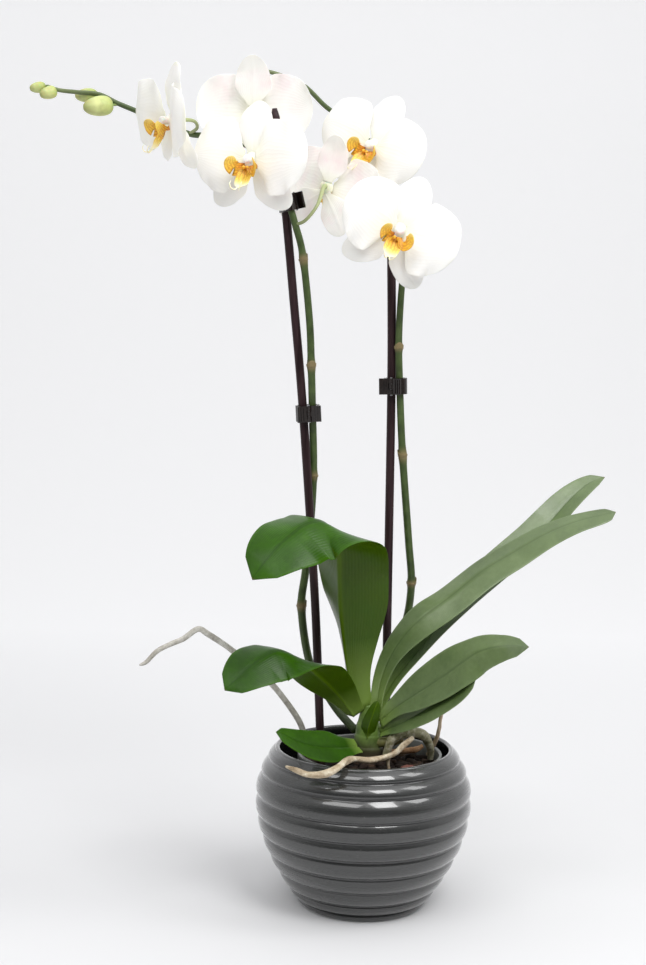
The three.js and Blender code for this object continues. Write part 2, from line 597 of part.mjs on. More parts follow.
function block(x0, x1, y0, y1, z0, z1) {
  const box = new THREE.BoxGeometry(x1 - x0, y1 - y0, z1 - z0);
  return box.translate((x0 + x1) / 2, (y0 + y1) / 2, (z0 + z1) / 2);
}

function upright(radius, z0, z1, sides = 14) {
  const rod = new THREE.CylinderGeometry(radius, radius, z1 - z0, sides).rotateX(Math.PI / 2);
  return rod.translate(0, 0, (z0 + z1) / 2);
}

// side is the jaw's side of the pin along X, and moves says whether it is the one that
// opens. insideX is half the width of the space that the two stems fill.
function clipJaw(side, moves, insideX) {
  const top = CLIP_HEIGHT / 2;
  const knuckle = CLIP_HEIGHT / 6; // half the height of the middle knuckle
  const outside = [insideX + CLIP_WALL, CLIP_INSIDE_Y + CLIP_WALL];
  const ring = stadium(new THREE.Shape(), ...outside, CLIP_STEM_DISTANCE);
  ring.holes.push(stadium(new THREE.Path(), insideX, CLIP_INSIDE_Y, CLIP_STEM_DISTANCE));
  const band = new THREE.ExtrudeGeometry(ring, { depth: CLIP_HEIGHT, bevelEnabled: false, curveSegments: 6 });
  band.translate(0, 0, -top);
  // A stretch from a to b away from the pin, on this jaw's own side.
  const span = (a, b) => (side > 0 ? [a, b] : [-b, -a]);
  const away = 3 * insideX;
  const other = block(...span(-away, GAP / 2), -away, away, -away, away);

  // Handle: a flat plate that leans forward from the pin, with raised ridges for the thumb.
  const handle = [block(...span(0.4, CLIP_HANDLE_LENGTH), -CLIP_WALL / 2, CLIP_WALL / 2, -top, top)];
  for (let x = CLIP_HANDLE_LENGTH * 0.4; x < CLIP_HANDLE_LENGTH - 1; x += CLIP_RIDGE_SPACING) {
    const proud = CLIP_WALL / 2 + CLIP_RIDGE_HEIGHT;
    handle.push(block(...span(x, x + CLIP_RIDGE_SPACING / 2), -proud, 0, 1 - top, top - 1));
  }
  handle.forEach((piece) => piece.rotateZ(-side * CLIP_HANDLE_LEAN));
  const web = block(...span(0.4, 4), 0, CLIP_STEM_DISTANCE - CLIP_INSIDE_Y - 0.2, -top, top);
  const grip = joined([...handle, web, upright(CLIP_KNUCKLE_RADIUS, -top, top)]);
  const jaw = solid(band).subtract(solid(other)).add(grip);

  // Knuckles: the fixed jaw keeps the two outer ones, the moving jaw the middle one.
  const room = CLIP_KNUCKLE_RADIUS + GAP;
  const upper = upright(room, knuckle - GAP / 2, top + 1);
  const lower = upright(room, -top - 1, GAP / 2 - knuckle);
  const middle = upright(room, -knuckle - GAP / 2, knuckle + GAP / 2);
  const pinHole = upright(CLIP_PIN_RADIUS + GAP, -away, away, 10);
  return geometryOf(cutBy(jaw, moves ? [upper, lower, pinHole] : [middle, pinHole]));
}

function clipPin() {
  return upright(CLIP_PIN_RADIUS, -CLIP_HEIGHT / 2 - 0.8, CLIP_HEIGHT / 2 + 0.8, 10);
}

// Where a route passes a height.
function routeAt(route, height) {
  const curve = curveOf(route);
  let low = 0;
  let high = 1;
  for (let i = 0; i < 40; i++) {
    const middle = (low + high) / 2;
    if (curve.getPoint(middle).z < height) low = middle;
    else high = middle;
  }
  return { point: curve.getPoint(low), along: curve.getTangent(low) };
}

// Where a clip sits, and half the width of the two stems that it holds.
function clipPlace({ stake: name, height, swapped }) {
  const held = routeAt(STAKE_ROUTES[name], height);
  const grown = routeAt(SPIKE_ROUTES[name], height);
  const z = held.along.clone().add(grown.along).normalize();
  const x = grown.point.clone().sub(held.point).multiplyScalar(swapped ? -1 : 1);
  x.addScaledVector(z, -x.dot(z));
  const insideX = x.length() / 2 + STAKE_RADIUS + CLIP_STEM_CLEARANCE;
  x.normalize();
  const y = z.clone().cross(x);
  const middle = held.point.clone().add(grown.point).multiplyScalar(0.5);
  const pin = middle.addScaledVector(y, -CLIP_STEM_DISTANCE);
  return { matrix: new THREE.Matrix4().makeBasis(x, y, z).setPosition(pin), insideX };
}

// ---------------------------------------------------------------- materials and the group
const MATERIALS = {
  ceramic: { color: 0x3d4348, roughness: 0.15 },
  nursery: { color: 0x6f7471, roughness: 0.35 },
  bark: { color: 0x3a2a20, roughness: 0.9 },
  leaf: { color: 0x3f6f2a, roughness: 0.45 },
  crown: { color: 0x5d8a33, roughness: 0.5 },
  spike: { color: 0x3d5a2c, roughness: 0.5 },
  root: { color: 0xa39a80, roughness: 0.85 },
  stake: { color: 0x2e1f24, roughness: 0.4 },
  clip: { color: 0x241d1c, roughness: 0.35 },
  steel: { color: 0xb9bcc0, roughness: 0.25, metalness: 1 },
  petal: { color: 0xf7f6f0, roughness: 0.6 },
  lip: { color: 0xf0a51e, roughness: 0.5 },
};

const group = new THREE.Group();
const plant = new THREE.Group(); // heights in it are measured from the bark's surface
plant.position.z = BARK_TOP;
group.add(plant);

function addMesh(parent, name, geometry, material) {
  const mesh = new THREE.Mesh(geometry, new THREE.MeshStandardMaterial(MATERIALS[material]));
  mesh.name = name;
  parent.add(mesh);
}

addMesh(group, "outer_pot", outerPot(), "ceramic");
addMesh(group, "nursery_pot", nurseryPot(), "nursery");

// The crown is trimmed by the leaves that leave it, and each leaf by those in front of it.
const taken = [stemBase(GAP)];
for (const [name, blade] of Object.entries(LEAVES)) {
  const steps = blade.spine.length > 5 ? 15 : 8;
  const plain = solid(bladeSolid(blade, LEAF_THICKNESS, WIDE_ACROSS, steps));
  const leaf = taken.reduce((rest, piece) => rest.subtract(piece), plain);
  addMesh(plant, name, geometryOf(leaf), "leaf");
  taken.push(solid(bladeSolid(blade, LEAF_THICKNESS, WIDE_ACROSS, steps, GAP)));
}
addMesh(plant, "stem_base", geometryOf(stemBase(0)), "crown");

for (const name of ["left", "right"]) {
  addMesh(plant, `stake_${name}`, stake(STAKE_ROUTES[name], STAKE_RADIUS), "stake");
  const trimmed = taken.reduce((rest, piece) => rest.subtract(piece), spike(name));
  addMesh(plant, `flower_spike_${name}`, geometryOf(trimmed), "spike");
}

const buried = [stemBase(GAP)];
for (const name of ["left", "right"]) buried.push(solid(stake(STAKE_ROUTES[name], STAKE_RADIUS + GAP)));
for (const [name, shape] of Object.entries(ROOTS)) {
  const trimmed = taken.reduce((rest, piece) => rest.subtract(piece), solid(root(shape)));
  addMesh(plant, name, geometryOf(trimmed), "root");
  const grown = solid(root(shape, GAP));
  buried.push(grown);
  taken.push(grown);
}
addMesh(plant, "bark_mix", geometryOf(bark(buried)), "bark");

for (const [name, flower] of Object.entries(FLOWERS)) {
  const head = new THREE.Group();
  head.applyMatrix4(flowerMatrix(flower));
  for (const [part, blades] of Object.entries(flowerBlades(flower.size, flower.sweep))) {
    const thickness = part === "lip" ? LIP_THICKNESS : PETAL_THICKNESS;
    const across = part.startsWith("petal") ? WIDE_ACROSS : SLIM_ACROSS;
    const steps = part === "lip" ? 5 : 7;
    const whole = joined(blades.map((blade) => bladeSolid(blade, thickness, across, steps)));
    addMesh(head, `${name}_${part}`, geometryOf(whole), part === "lip" ? "lip" : "petal");
  }
  plant.add(head);
}

for (const [name, clip] of Object.entries(CLIPS)) {
  const holder = new THREE.Group();
  const { matrix, insideX } = clipPlace(clip);
  holder.applyMatrix4(matrix);
  const stakeSide = clip.swapped ? 1 : -1; // the jaw round the stake stays still
  addMesh(holder, `${name}_fixed_jaw`, clipJaw(stakeSide, false, insideX), "clip");
  addMesh(holder, `${name}_moving_jaw`, clipJaw(-stakeSide, true, insideX), "clip");
  addMesh(holder, `${name}_spring_pin`, clipPin(), "steel");
  plant.add(holder);
}

export default group;
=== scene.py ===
import math

import bpy
import numpy as np
from mathutils import Matrix, Vector


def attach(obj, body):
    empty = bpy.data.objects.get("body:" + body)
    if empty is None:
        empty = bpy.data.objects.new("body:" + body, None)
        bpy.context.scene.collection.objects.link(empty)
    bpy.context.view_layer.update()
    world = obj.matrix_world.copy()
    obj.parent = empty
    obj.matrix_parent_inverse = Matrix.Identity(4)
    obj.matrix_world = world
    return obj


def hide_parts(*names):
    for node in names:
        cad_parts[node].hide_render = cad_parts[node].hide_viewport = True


# A two-spike moth orchid in a nursery pot inside a ribbed ceramic pot. The routes below are
# in millimetres, with the plant's heights measured from the bark's surface.
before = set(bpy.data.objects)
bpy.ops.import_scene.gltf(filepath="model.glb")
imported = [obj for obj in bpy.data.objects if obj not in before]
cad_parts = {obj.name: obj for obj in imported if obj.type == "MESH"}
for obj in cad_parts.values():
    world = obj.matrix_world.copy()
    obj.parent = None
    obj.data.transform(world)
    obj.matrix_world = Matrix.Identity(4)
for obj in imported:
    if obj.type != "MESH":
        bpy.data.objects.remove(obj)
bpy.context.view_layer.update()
BODY = "plant_and_pots"
MM = 0.001
BARK_TOP = 110.3
rng = np.random.default_rng(7)


# ---- shape tools
def curve(points, t):
    """A smooth curve through evenly numbered points, at each value of t from 0 to 1."""
    p = np.asarray(points, float)
    if len(p) == 1:
        return np.repeat(p, len(t), axis=0)
    p = np.vstack([2 * p[0] - p[1], p, 2 * p[-1] - p[-2]])
    u = np.clip(t, 0, 1) * (len(p) - 3)
    i = np.minimum(u.astype(int), len(p) - 4)
    f = (u - i)[:, None]
    a, b, c, d = p[i], p[i + 1], p[i + 2], p[i + 3]
    return 0.5 * (2 * b + (c - a) * f + (2 * a - 5 * b + 4 * c - d) * f**2 + (3 * b - a - 3 * c + d) * f**3)


def smooth(u):
    u = np.clip(u, 0, 1)
    return u * u * (3 - 2 * u)


def along(values, t):
    """The value at each t of a list of numbers spread evenly from 0 to 1."""
    return np.interp(t, np.linspace(0, 1, len(values)), values)


def unit(v):
    return v / np.linalg.norm(v, axis=-1, keepdims=True)


def bump(x, centre, width):
    return np.exp(-(((x - centre) / width) ** 2))


def none(t):
    return 0 * t


def add_mesh(name, points, faces, attributes, material, slot, nodes=(), lift=BARK_TOP, matrix=None):
    """A smooth-shaded piece from points in millimetres, riding on the plant's body."""
    points = np.asarray(points, float)
    if matrix is not None:
        points = points @ np.array(matrix.to_3x3()).T + np.array(matrix.translation)
    points = (points + [0, 0, lift]) * MM
    mesh = bpy.data.meshes.new(name)
    mesh.from_pydata(points.tolist(), [], faces)
    for key, values in attributes.items():
        layer = mesh.attributes.new(key, "FLOAT", "POINT")
        layer.data.foreach_set("value", np.asarray(values, np.float32))
    mesh.shade_smooth()
    mesh.materials.append(material)
    piece = bpy.data.objects.new(name, mesh)
    bpy.context.scene.collection.objects.link(piece)
    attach(piece, BODY)
    if nodes:
        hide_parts(*nodes)


def ring_faces(rings, size):
    """Faces of a tube made of rings of points, closed at both ends."""
    faces = []
    for i in range(rings - 1):
        a = i * size
        b = a + size
        faces += [(a + k, a + (k + 1) % size, b + (k + 1) % size, b + k) for k in range(size)]
    last = (rings - 1) * size
    faces.append(tuple(range(size - 1, -1, -1)))
    faces.append(tuple(range(last, last + size)))
    return faces


def join(parts):
    """One set of points, faces and attributes from several."""
    faces, start = [], 0
    for p, f, _ in parts:
        faces += [tuple(k + start for k in face) for face in f]
        start += len(p)
    data = {}
    for key in sorted({key for part in parts for key in part[2]}):
        data[key] = np.concatenate([tones.get(key, np.zeros(len(p))) for p, _, tones in parts])
    return np.vstack([p for p, _, _ in parts]), faces, data


END_TAPERS = np.array([0.6, 0.55])


def tube(points, radius, sides=20, steps=60, rough=0.0, **tones):
    """A round stem along a route, in rings that stand evenly apart.

    radius is a list or a function of t, and tones are functions of t that its material reads."""
    share, fine = np.linspace(0, 1, steps + 1), np.linspace(0, 1, 400)
    length = np.concatenate([[0], np.cumsum(np.linalg.norm(np.diff(curve(points, fine), axis=0), axis=1))])
    t = np.interp(share * length[-1], length, fine)
    centre = curve(points, t)
    tangent = unit(np.gradient(centre, axis=0))
    normal = np.zeros_like(tangent)
    normal[0] = unit(np.cross(tangent[0], [0.3, 0.9, 0.2]))
    for i in range(1, len(t)):
        normal[i] = unit(normal[i - 1] - tangent[i] * normal[i - 1].dot(tangent[i]))
    other = np.cross(tangent, normal)
    r = np.array(radius(t) if callable(radius) else along(radius, t), float)
    r[[0, -1]] *= END_TAPERS
    angle = np.arange(sides) * 2 * math.pi / sides
    waves = np.zeros((len(t), sides))
    if rough:
        for k in range(5):
            turn, wind, phase = rng.integers(1, 5), rng.uniform(8, 45), rng.uniform(0, 6.28)
            waves += np.sin(turn * angle[None, :] + wind * share[:, None] + phase) / 5
    r = r[:, None] * (1 + rough * waves)
    ring = centre[:, None] + r[..., None] * (
        np.cos(angle)[None, :, None] * normal[:, None] + np.sin(angle)[None, :, None] * other[:, None]
    )
    data = {"along": np.repeat(t, sides)}
    for key, fn in tones.items():
        data[key] = np.repeat(fn(t), sides)
    return ring.reshape(-1, 3), ring_faces(len(t), sides), data


def blade(
    shape, thickness, steps, across, wave=0.0, waves=3.0, groove=0.0, keel=0.0, turned=False, point=0.0
):
    """A leaf, sepal or petal: a closed curved plate with a groove above its midrib and a keel below.

    turned says that its upper side is the one that its normal points away from, and point is the
    last share of its length that runs to a sharp tip."""
    u = np.linspace(0, 1, steps + 1)
    t = 0.9995 * (1 - (1 - u) ** 1.7)  # rows stand closer together towards the tip
    centre = curve(shape["spine"], t)
    ahead = curve(shape["spine"], np.minimum(t + 1e-3, 1))
    behind = curve(shape["spine"], np.maximum(t - 1e-3, 0))
    tangent = unit(ahead - behind)
    side = curve(shape["sides"], t)
    side = unit(side - tangent * np.sum(side * tangent, axis=1, keepdims=True))
    normal = np.cross(tangent, side)
    past = np.maximum(0, (t - shape["narrow"]) / (1 - shape["narrow"]))
    width = shape["half"] * (shape["base"] + (1 - shape["base"]) * smooth(t / shape["full"]))
    width = width * np.sqrt(np.maximum(0, 1 - past ** shape["power"]))
    if point:
        width = width * np.sqrt(np.minimum(1, (1 - t) / point))
    fold = np.radians(along(shape["fold"], t))[:, None]
    cup = along(shape["cup"], t)[:, None]
    x = np.sin(np.linspace(math.pi / 2, -math.pi / 2, across))
    inner = x[1:-1][::-1]
    phase = rng.uniform(0, 6.28, 2)

    def face(xs, way):
        xx = xs[None, :]
        w = width[:, None]
        half = thickness / 2 * np.sqrt(np.clip(1 - xx**2, 0, 1)) ** 0.7
        half = half * np.minimum(1, w / (3 * thickness) + 0.1)
        soft = np.sqrt(xx**2 + 0.03**2)
        rise = w * (soft * np.sin(fold) + cup * xx**2)
        turn = 2 * math.pi * waves * t[:, None] + np.where(xx > 0, phase[0], phase[1])
        rise = rise + wave * w * np.abs(xx) ** 3 * np.sin(turn)
        up = -1 if turned else 1
        rib = smooth((1 - t) / 0.3)[:, None] * bump(xx, 0, 0.07 if way == up else 0.09)
        lift = way * half - up * rib * (groove if way == up else keel)
        p = centre[:, None] + side[:, None] * (w * xx * np.cos(fold))[..., None]
        return p + normal[:, None] * (rise + lift)[..., None]

    upper, lower = face(x, 1), face(inner, -1)
    ring = np.concatenate([upper, lower], axis=1)
    size = across + len(inner)
    beneath = np.repeat([float(turned), 1.0 - turned], [across, len(inner)])
    data = {
        "along": np.repeat(t, size),
        "across": np.tile(np.concatenate([x, inner]), len(t)),
        "under": np.tile(beneath, len(t)),
    }
    return ring.reshape(-1, 3), ring_faces(len(t), size), data


def lathe(profile, segments, shades):
    """A round body about Z from a profile of (radius, height) up its outside and down its inside."""
    angle = np.arange(segments) * 2 * math.pi / segments
    points = [(r * math.cos(a), r * math.sin(a), z) for r, z in profile for a in angle]
    return points, ring_faces(len(profile), segments), {"groove": np.repeat(shades, segments)}


# ---- materials
class Material:
    """A material with short ways to add the nodes that colour and roughen it."""

    def __init__(self, name, **sockets):
        self.material = bpy.data.materials.new(name)
        self.material.use_nodes = True
        self.tree = self.material.node_tree
        self.shader = self.tree.nodes["Principled BSDF"]
        for key, value in sockets.items():
            self.shader.inputs[key.replace("_", " ")].default_value = value
        self.place = self.add("ShaderNodeTexCoord").outputs["Object"]

    def add(self, kind, **inputs):
        node = self.tree.nodes.new(kind)
        for key, value in inputs.items():
            self.feed(node.inputs[key.replace("_", " ")], value)
        return node

    def feed(self, socket, value):
        if isinstance(value, bpy.types.NodeSocket):
            self.tree.links.new(value, socket)
        else:
            socket.default_value = value

    def value(self, name):
        node = self.add("ShaderNodeAttribute")
        node.attribute_name = name
        return node.outputs["Fac"]

    def math(self, operation, a, b=0.0):
        node = self.tree.nodes.new("ShaderNodeMath")
        node.operation = operation
        self.feed(node.inputs[0], a)
        self.feed(node.inputs[1], b)
        return node.outputs[0]

    def times(self, a, b):
        return self.math("MULTIPLY", a, b)

    def plus(self, a, b):
        return self.math("ADD", a, b)

    def scaled(self, stretch):
        node = self.add("ShaderNodeMapping", Vector=self.place)
        node.inputs["Scale"].default_value = stretch
        return node.outputs["Vector"]

    def noise(self, scale, detail=4.0, stretch=None, roughness=0.6):
        vector = self.scaled(stretch) if stretch else self.place
        node = self.add("ShaderNodeTexNoise", Vector=vector, Scale=scale, Detail=detail, Roughness=roughness)
        return node.outputs["Fac"]

    def ramp(self, value, *stops):
        """Colour stops (position, colour) or number stops (position, number)."""
        node = self.add("ShaderNodeValToRGB", Fac=value)
        ramp = node.color_ramp
        for i, (position, colour) in enumerate(stops):
            stop = ramp.elements[i] if i < 2 else ramp.elements.new(position)
            stop.position = position
            stop.color = (*colour, 1) if isinstance(colour, tuple) else (colour, colour, colour, 1)
        return node.outputs["Color"]

    def mix(self, amount, a, b):
        node = self.tree.nodes.new("ShaderNodeMix")
        node.data_type = "RGBA"
        self.feed(node.inputs["Factor"], amount)
        for socket, value in ((node.inputs[6], a), (node.inputs[7], b)):
            self.feed(socket, (*value, 1) if isinstance(value, tuple) else value)
        return node.outputs[2]

    def colour(self, value):
        self.feed(self.shader.inputs["Base Color"], value)

    def roughness(self, value):
        self.feed(self.shader.inputs["Roughness"], value)

    def relief(self, height, distance, strength=0.6):
        node = self.add("ShaderNodeBump", Height=height, Distance=distance * MM, Strength=strength)
        before = self.shader.inputs["Normal"].links
        if before:
            self.tree.links.new(before[0].from_socket, node.inputs["Normal"])
        self.tree.links.new(node.outputs["Normal"], self.shader.inputs["Normal"])


def ceramic_material():
    m = Material("ceramic_glaze", Coat_Weight=1.0, Coat_Roughness=0.035, Specular_IOR_Level=0.5)
    groove = m.value("groove")
    cloud = m.noise(26, 5)
    streak = m.noise(9, 6, stretch=(1, 1, 55))
    tone = m.plus(m.times(cloud, 0.5), m.times(streak, 0.5))
    dark, mid, light = (0.016, 0.017, 0.017), (0.026, 0.027, 0.026), (0.04, 0.041, 0.039)
    glaze = m.ramp(tone, (0.3, dark), (0.55, mid), (0.75, light))
    speck = m.ramp(m.noise(900, 2), (0.68, 0.0), (0.74, 1.0))
    glaze = m.mix(m.times(speck, 0.35), glaze, (0.26, 0.26, 0.24))
    # Painted shade: the glaze is darkened towards near-black in the rib grooves and over the pot's inside and
    # floor, where shade falls, by the amounts in the groove attribute.
    glaze = m.mix(m.times(groove, 0.8), glaze, (0.006, 0.006, 0.007))
    m.colour(glaze)
    m.roughness(m.ramp(streak, (0.3, 0.2), (0.7, 0.34)))
    m.relief(streak, 0.25, 0.35)
    m.relief(m.noise(70, 3), 0.5, 0.25)
    return m.material


def nursery_material():
    m = Material("nursery_plastic", Specular_IOR_Level=0.5)
    tone = m.noise(30, 4)
    m.colour(m.ramp(tone, (0.3, (0.1, 0.105, 0.1)), (0.7, (0.17, 0.18, 0.168))))
    dust = m.ramp(m.noise(120, 5), (0.5, 0.28), (0.8, 0.6))
    m.roughness(dust)
    m.relief(m.noise(160, 3), 0.2, 0.3)
    return m.material


def bark_material(name, dark, mid, light):
    m = Material(name, Specular_IOR_Level=0.25)
    layers = m.noise(60, 6, stretch=(1, 1, 3.5), roughness=0.7)
    tone = m.plus(m.times(layers, 0.7), m.times(m.value("tone"), 0.4))
    m.colour(m.ramp(tone, (0.3, dark), (0.58, mid), (0.85, light)))
    m.roughness(m.ramp(m.noise(200, 4), (0.3, 0.7), (0.7, 0.98)))
    m.relief(layers, 1.6, 0.8)
    m.relief(m.noise(420, 3), 0.5, 0.6)
    return m.material


def leaf_material(name, deep, green, pale, under, rough, sheen):
    m = Material(name, Specular_IOR_Level=sheen)
    across, beneath, t = m.value("across"), m.value("under"), m.value("along")
    span = m.math("ABSOLUTE", across)
    cloud = m.noise(22, 4)
    fine = m.noise(300, 3)
    veins = m.math("SINE", m.times(across, 95.0))
    veins = m.times(m.plus(veins, 1.0), 0.5)
    tone = m.plus(m.times(cloud, 0.8), m.times(fine, 0.2))
    upper = m.ramp(tone, (0.32, deep), (0.55, green), (0.78, pale))
    upper = m.mix(m.times(veins, 0.1), upper, pale)
    # Painted shade: the upper face darkens along the crease over the midrib.
    upper = m.mix(m.ramp(span, (0.02, 0.6), (0.075, 0.0)), upper, deep)
    upper = m.mix(m.ramp(span, (0.86, 0.0), (1.0, 0.4)), upper, pale)
    lower = m.mix(m.ramp(tone, (0.35, 0.0), (0.75, 0.6)), under, green)
    lower = m.mix(m.ramp(span, (0.03, 0.7), (0.11, 0.0)), lower, tuple(min(1, c * 1.9) for c in under))
    lower = m.mix(m.times(veins, 0.12), lower, deep)
    leaf = m.mix(beneath, upper, lower)
    # Painted light: the base of each leaf is tinted a light yellow-green for the glow of light shining
    # through it.
    leaf = m.mix(m.ramp(t, (0.0, 0.75), (0.16, 0.0)), leaf, (0.24, 0.36, 0.07))
    leaf = m.mix(m.ramp(t, (0.988, 0.0), (0.998, 0.8)), leaf, (0.09, 0.06, 0.02))
    m.colour(leaf)
    patch = m.noise(14, 3)
    m.roughness(m.ramp(patch, (0.3, rough - 0.06), (0.7, rough + 0.1)))
    m.relief(veins, 0.16, 0.35)
    m.relief(m.noise(45, 3), 0.7, 0.25)
    m.relief(fine, 0.08, 0.25)
    return m.material


def petal_material(name, blush, edge):
    skin = {"Specular_IOR_Level": 0.25, "Roughness": 0.62}
    m = Material(name, Subsurface_Weight=0.35, Subsurface_Scale=0.006, **skin)
    m.shader.inputs["Subsurface Radius"].default_value = (1.0, 0.9, 0.75)
    across, t, beneath = m.value("across"), m.value("along"), m.value("under")
    fan = m.times(across, m.plus(m.times(t, 26.0), 18.0))
    fan = m.plus(fan, m.times(m.noise(90, 3), 4.0))
    veins = m.math("POWER", m.math("ABSOLUTE", m.math("SINE", fan)), 5.0)
    white = m.mix(m.times(veins, 0.07), (0.95, 0.935, 0.885), (0.88, 0.855, 0.78))
    white = m.mix(m.ramp(m.noise(28, 3), (0.45, 0.0), (0.75, 0.25)), white, (0.94, 0.94, 0.84))
    base = m.ramp(t, (0.0, 0.85), (0.3, 0.12), (0.55, 0.0))
    white = m.mix(m.times(base, 0.7), white, (0.84, 0.85, 0.6))
    blot = m.ramp(m.noise(24, 4), (0.42, 0.0), (0.62, 0.8))
    blot = m.times(blot, m.ramp(t, (0.2, 0.2), (0.5, 1.0), (0.9, 0.1)))
    side = m.plus(m.times(beneath, 0.75), 0.12)
    white = m.mix(m.times(blot, side), white, blush)
    white = m.mix(m.ramp(t, (0.9, 0.0), (1.0, 0.4)), white, edge)
    m.colour(white)
    m.relief(veins, 0.12, 0.4)
    m.relief(m.noise(60, 4), 0.5, 0.25)
    m.relief(m.noise(900, 2), 0.04, 0.35)
    return m.material


def lip_material():
    m = Material("lip", Specular_IOR_Level=0.4, Subsurface_Weight=0.2, Subsurface_Scale=0.003)
    t, across = m.value("along"), m.value("across")
    throat, orange, yolk, cream = (0.7, 0.3, 0.03), (0.88, 0.5, 0.04), (0.93, 0.68, 0.1), (0.95, 0.88, 0.6)
    yellow = m.ramp(t, (0.0, throat), (0.22, orange), (0.5, yolk), (0.85, cream))
    line = m.plus(m.times(across, 16.0), m.times(m.noise(420, 2), 7.0))
    marks = m.ramp(m.math("SINE", line), (0.3, 0.0), (0.75, 1.0))
    spots = m.ramp(m.noise(620, 2), (0.5, 0.0), (0.6, 1.0))
    marks = m.math("MAXIMUM", marks, m.times(spots, 0.8))
    marks = m.times(marks, m.ramp(t, (0.1, 1.0), (0.5, 0.55), (0.72, 0.0)))
    m.colour(m.mix(m.times(marks, 0.6), yellow, (0.42, 0.09, 0.02)))
    m.roughness(m.ramp(m.noise(260, 3), (0.3, 0.3), (0.7, 0.5)))
    m.relief(marks, 0.2, 0.4)
    m.relief(m.noise(300, 3), 0.3, 0.4)
    return m.material


def column_material():
    skin = {"Specular_IOR_Level": 0.45, "Roughness": 0.38}
    m = Material("column", Subsurface_Weight=0.3, Subsurface_Scale=0.003, **skin)
    t = m.value("along")
    tone = m.ramp(t, (0.0, (0.8, 0.8, 0.6)), (0.5, (0.93, 0.9, 0.84)), (0.9, (0.95, 0.93, 0.9)))
    m.colour(m.mix(m.ramp(m.noise(500, 3), (0.55, 0.0), (0.7, 0.4)), tone, (0.8, 0.55, 0.6)))
    m.relief(m.noise(350, 3), 0.15, 0.4)
    return m.material


def stem_material(name, dark, green, pale, tip):
    m = Material(name, Specular_IOR_Level=0.45)
    mottle = m.noise(130, 5)
    tone = m.ramp(mottle, (0.25, dark), (0.5, green), (0.8, pale))
    tone = m.mix(m.value("joint"), tone, (0.22, 0.165, 0.075))
    tone = m.mix(m.value("pale"), tone, tip)
    specks = m.ramp(m.noise(1500, 2), (0.62, 0.0), (0.7, 0.25))
    m.colour(m.mix(specks, tone, dark))
    m.roughness(m.ramp(mottle, (0.3, 0.34), (0.7, 0.55)))
    m.relief(m.noise(300, 4, stretch=(1, 1, 0.25)), 0.3, 0.4)
    return m.material


def bud_material():
    m = Material("bud", Specular_IOR_Level=0.45, Subsurface_Weight=0.2, Subsurface_Scale=0.004)
    t = m.value("along")
    base, middle, top, tip = (0.2, 0.27, 0.07), (0.46, 0.52, 0.17), (0.6, 0.64, 0.27), (0.36, 0.38, 0.14)
    tone = m.ramp(t, (0.3, base), (0.55, middle), (0.8, top), (1.0, tip))
    blot = m.ramp(m.noise(150, 4), (0.45, 0.0), (0.75, 0.5))
    m.colour(m.mix(blot, tone, (0.3, 0.33, 0.1)))
    m.roughness(m.ramp(m.noise(90, 3), (0.3, 0.4), (0.7, 0.58)))
    m.relief(m.noise(240, 3), 0.3, 0.35)
    return m.material


def root_material(name, dark, mid, light, rough=0.8):
    m = Material(name, Specular_IOR_Level=0.3)
    streak = m.noise(110, 6, roughness=0.72)
    spots = m.noise(420, 3)
    tone = m.plus(m.times(streak, 0.75), m.times(spots, 0.25))
    m.colour(m.ramp(tone, (0.34, dark), (0.5, mid), (0.66, light)))
    m.roughness(m.ramp(streak, (0.3, rough - 0.1), (0.7, rough + 0.15)))
    m.relief(streak, 1.0, 0.7)
    m.relief(spots, 0.4, 0.5)
    return m.material


def stake_material():
    m = Material("stake", Specular_IOR_Level=0.22)
    grain = m.noise(260, 5, stretch=(1, 1, 0.06))
    dark, mid, light = (0.012, 0.005, 0.006), (0.028, 0.013, 0.015), (0.05, 0.027, 0.029)
    m.colour(m.ramp(grain, (0.3, dark), (0.55, mid), (0.8, light)))
    m.roughness(m.ramp(grain, (0.3, 0.3), (0.7, 0.5)))
    m.relief(grain, 0.3, 0.5)
    return m.material


def clip_material():
    m = Material("clip_plastic", Specular_IOR_Level=0.5, Coat_Weight=0.35, Coat_Roughness=0.05)
    tone = m.noise(180, 4)
    m.colour(m.ramp(tone, (0.3, (0.006, 0.0035, 0.0025)), (0.7, (0.015, 0.009, 0.007))))
    m.roughness(m.ramp(m.noise(420, 4), (0.3, 0.12), (0.7, 0.24)))
    m.relief(m.noise(500, 3), 0.04, 0.15)
    return m.material


def steel_material():
    m = Material("steel", Metallic=1.0)
    brushed = m.noise(500, 4, stretch=(1, 1, 0.1))
    m.colour(m.ramp(brushed, (0.3, (0.5, 0.51, 0.53)), (0.7, (0.75, 0.76, 0.78))))
    m.roughness(m.ramp(brushed, (0.3, 0.2), (0.7, 0.36)))
    return m.material


CERAMIC = ceramic_material()
NURSERY = nursery_material()
BARK = bark_material("bark", (0.004, 0.003, 0.002), (0.015, 0.008, 0.005), (0.05, 0.028, 0.016))
CHIPS = bark_material("bark_chips", (0.005, 0.003, 0.002), (0.02, 0.011, 0.007), (0.07, 0.04, 0.024))
LEAF_LEFT = leaf_material(
    "leaf_bright", deep=(0.013, 0.048, 0.0005), green=(0.028, 0.096, 0.001), pale=(0.056, 0.157, 0.002),
    under=(0.05, 0.09, 0.001), rough=0.3, sheen=0.2,
)
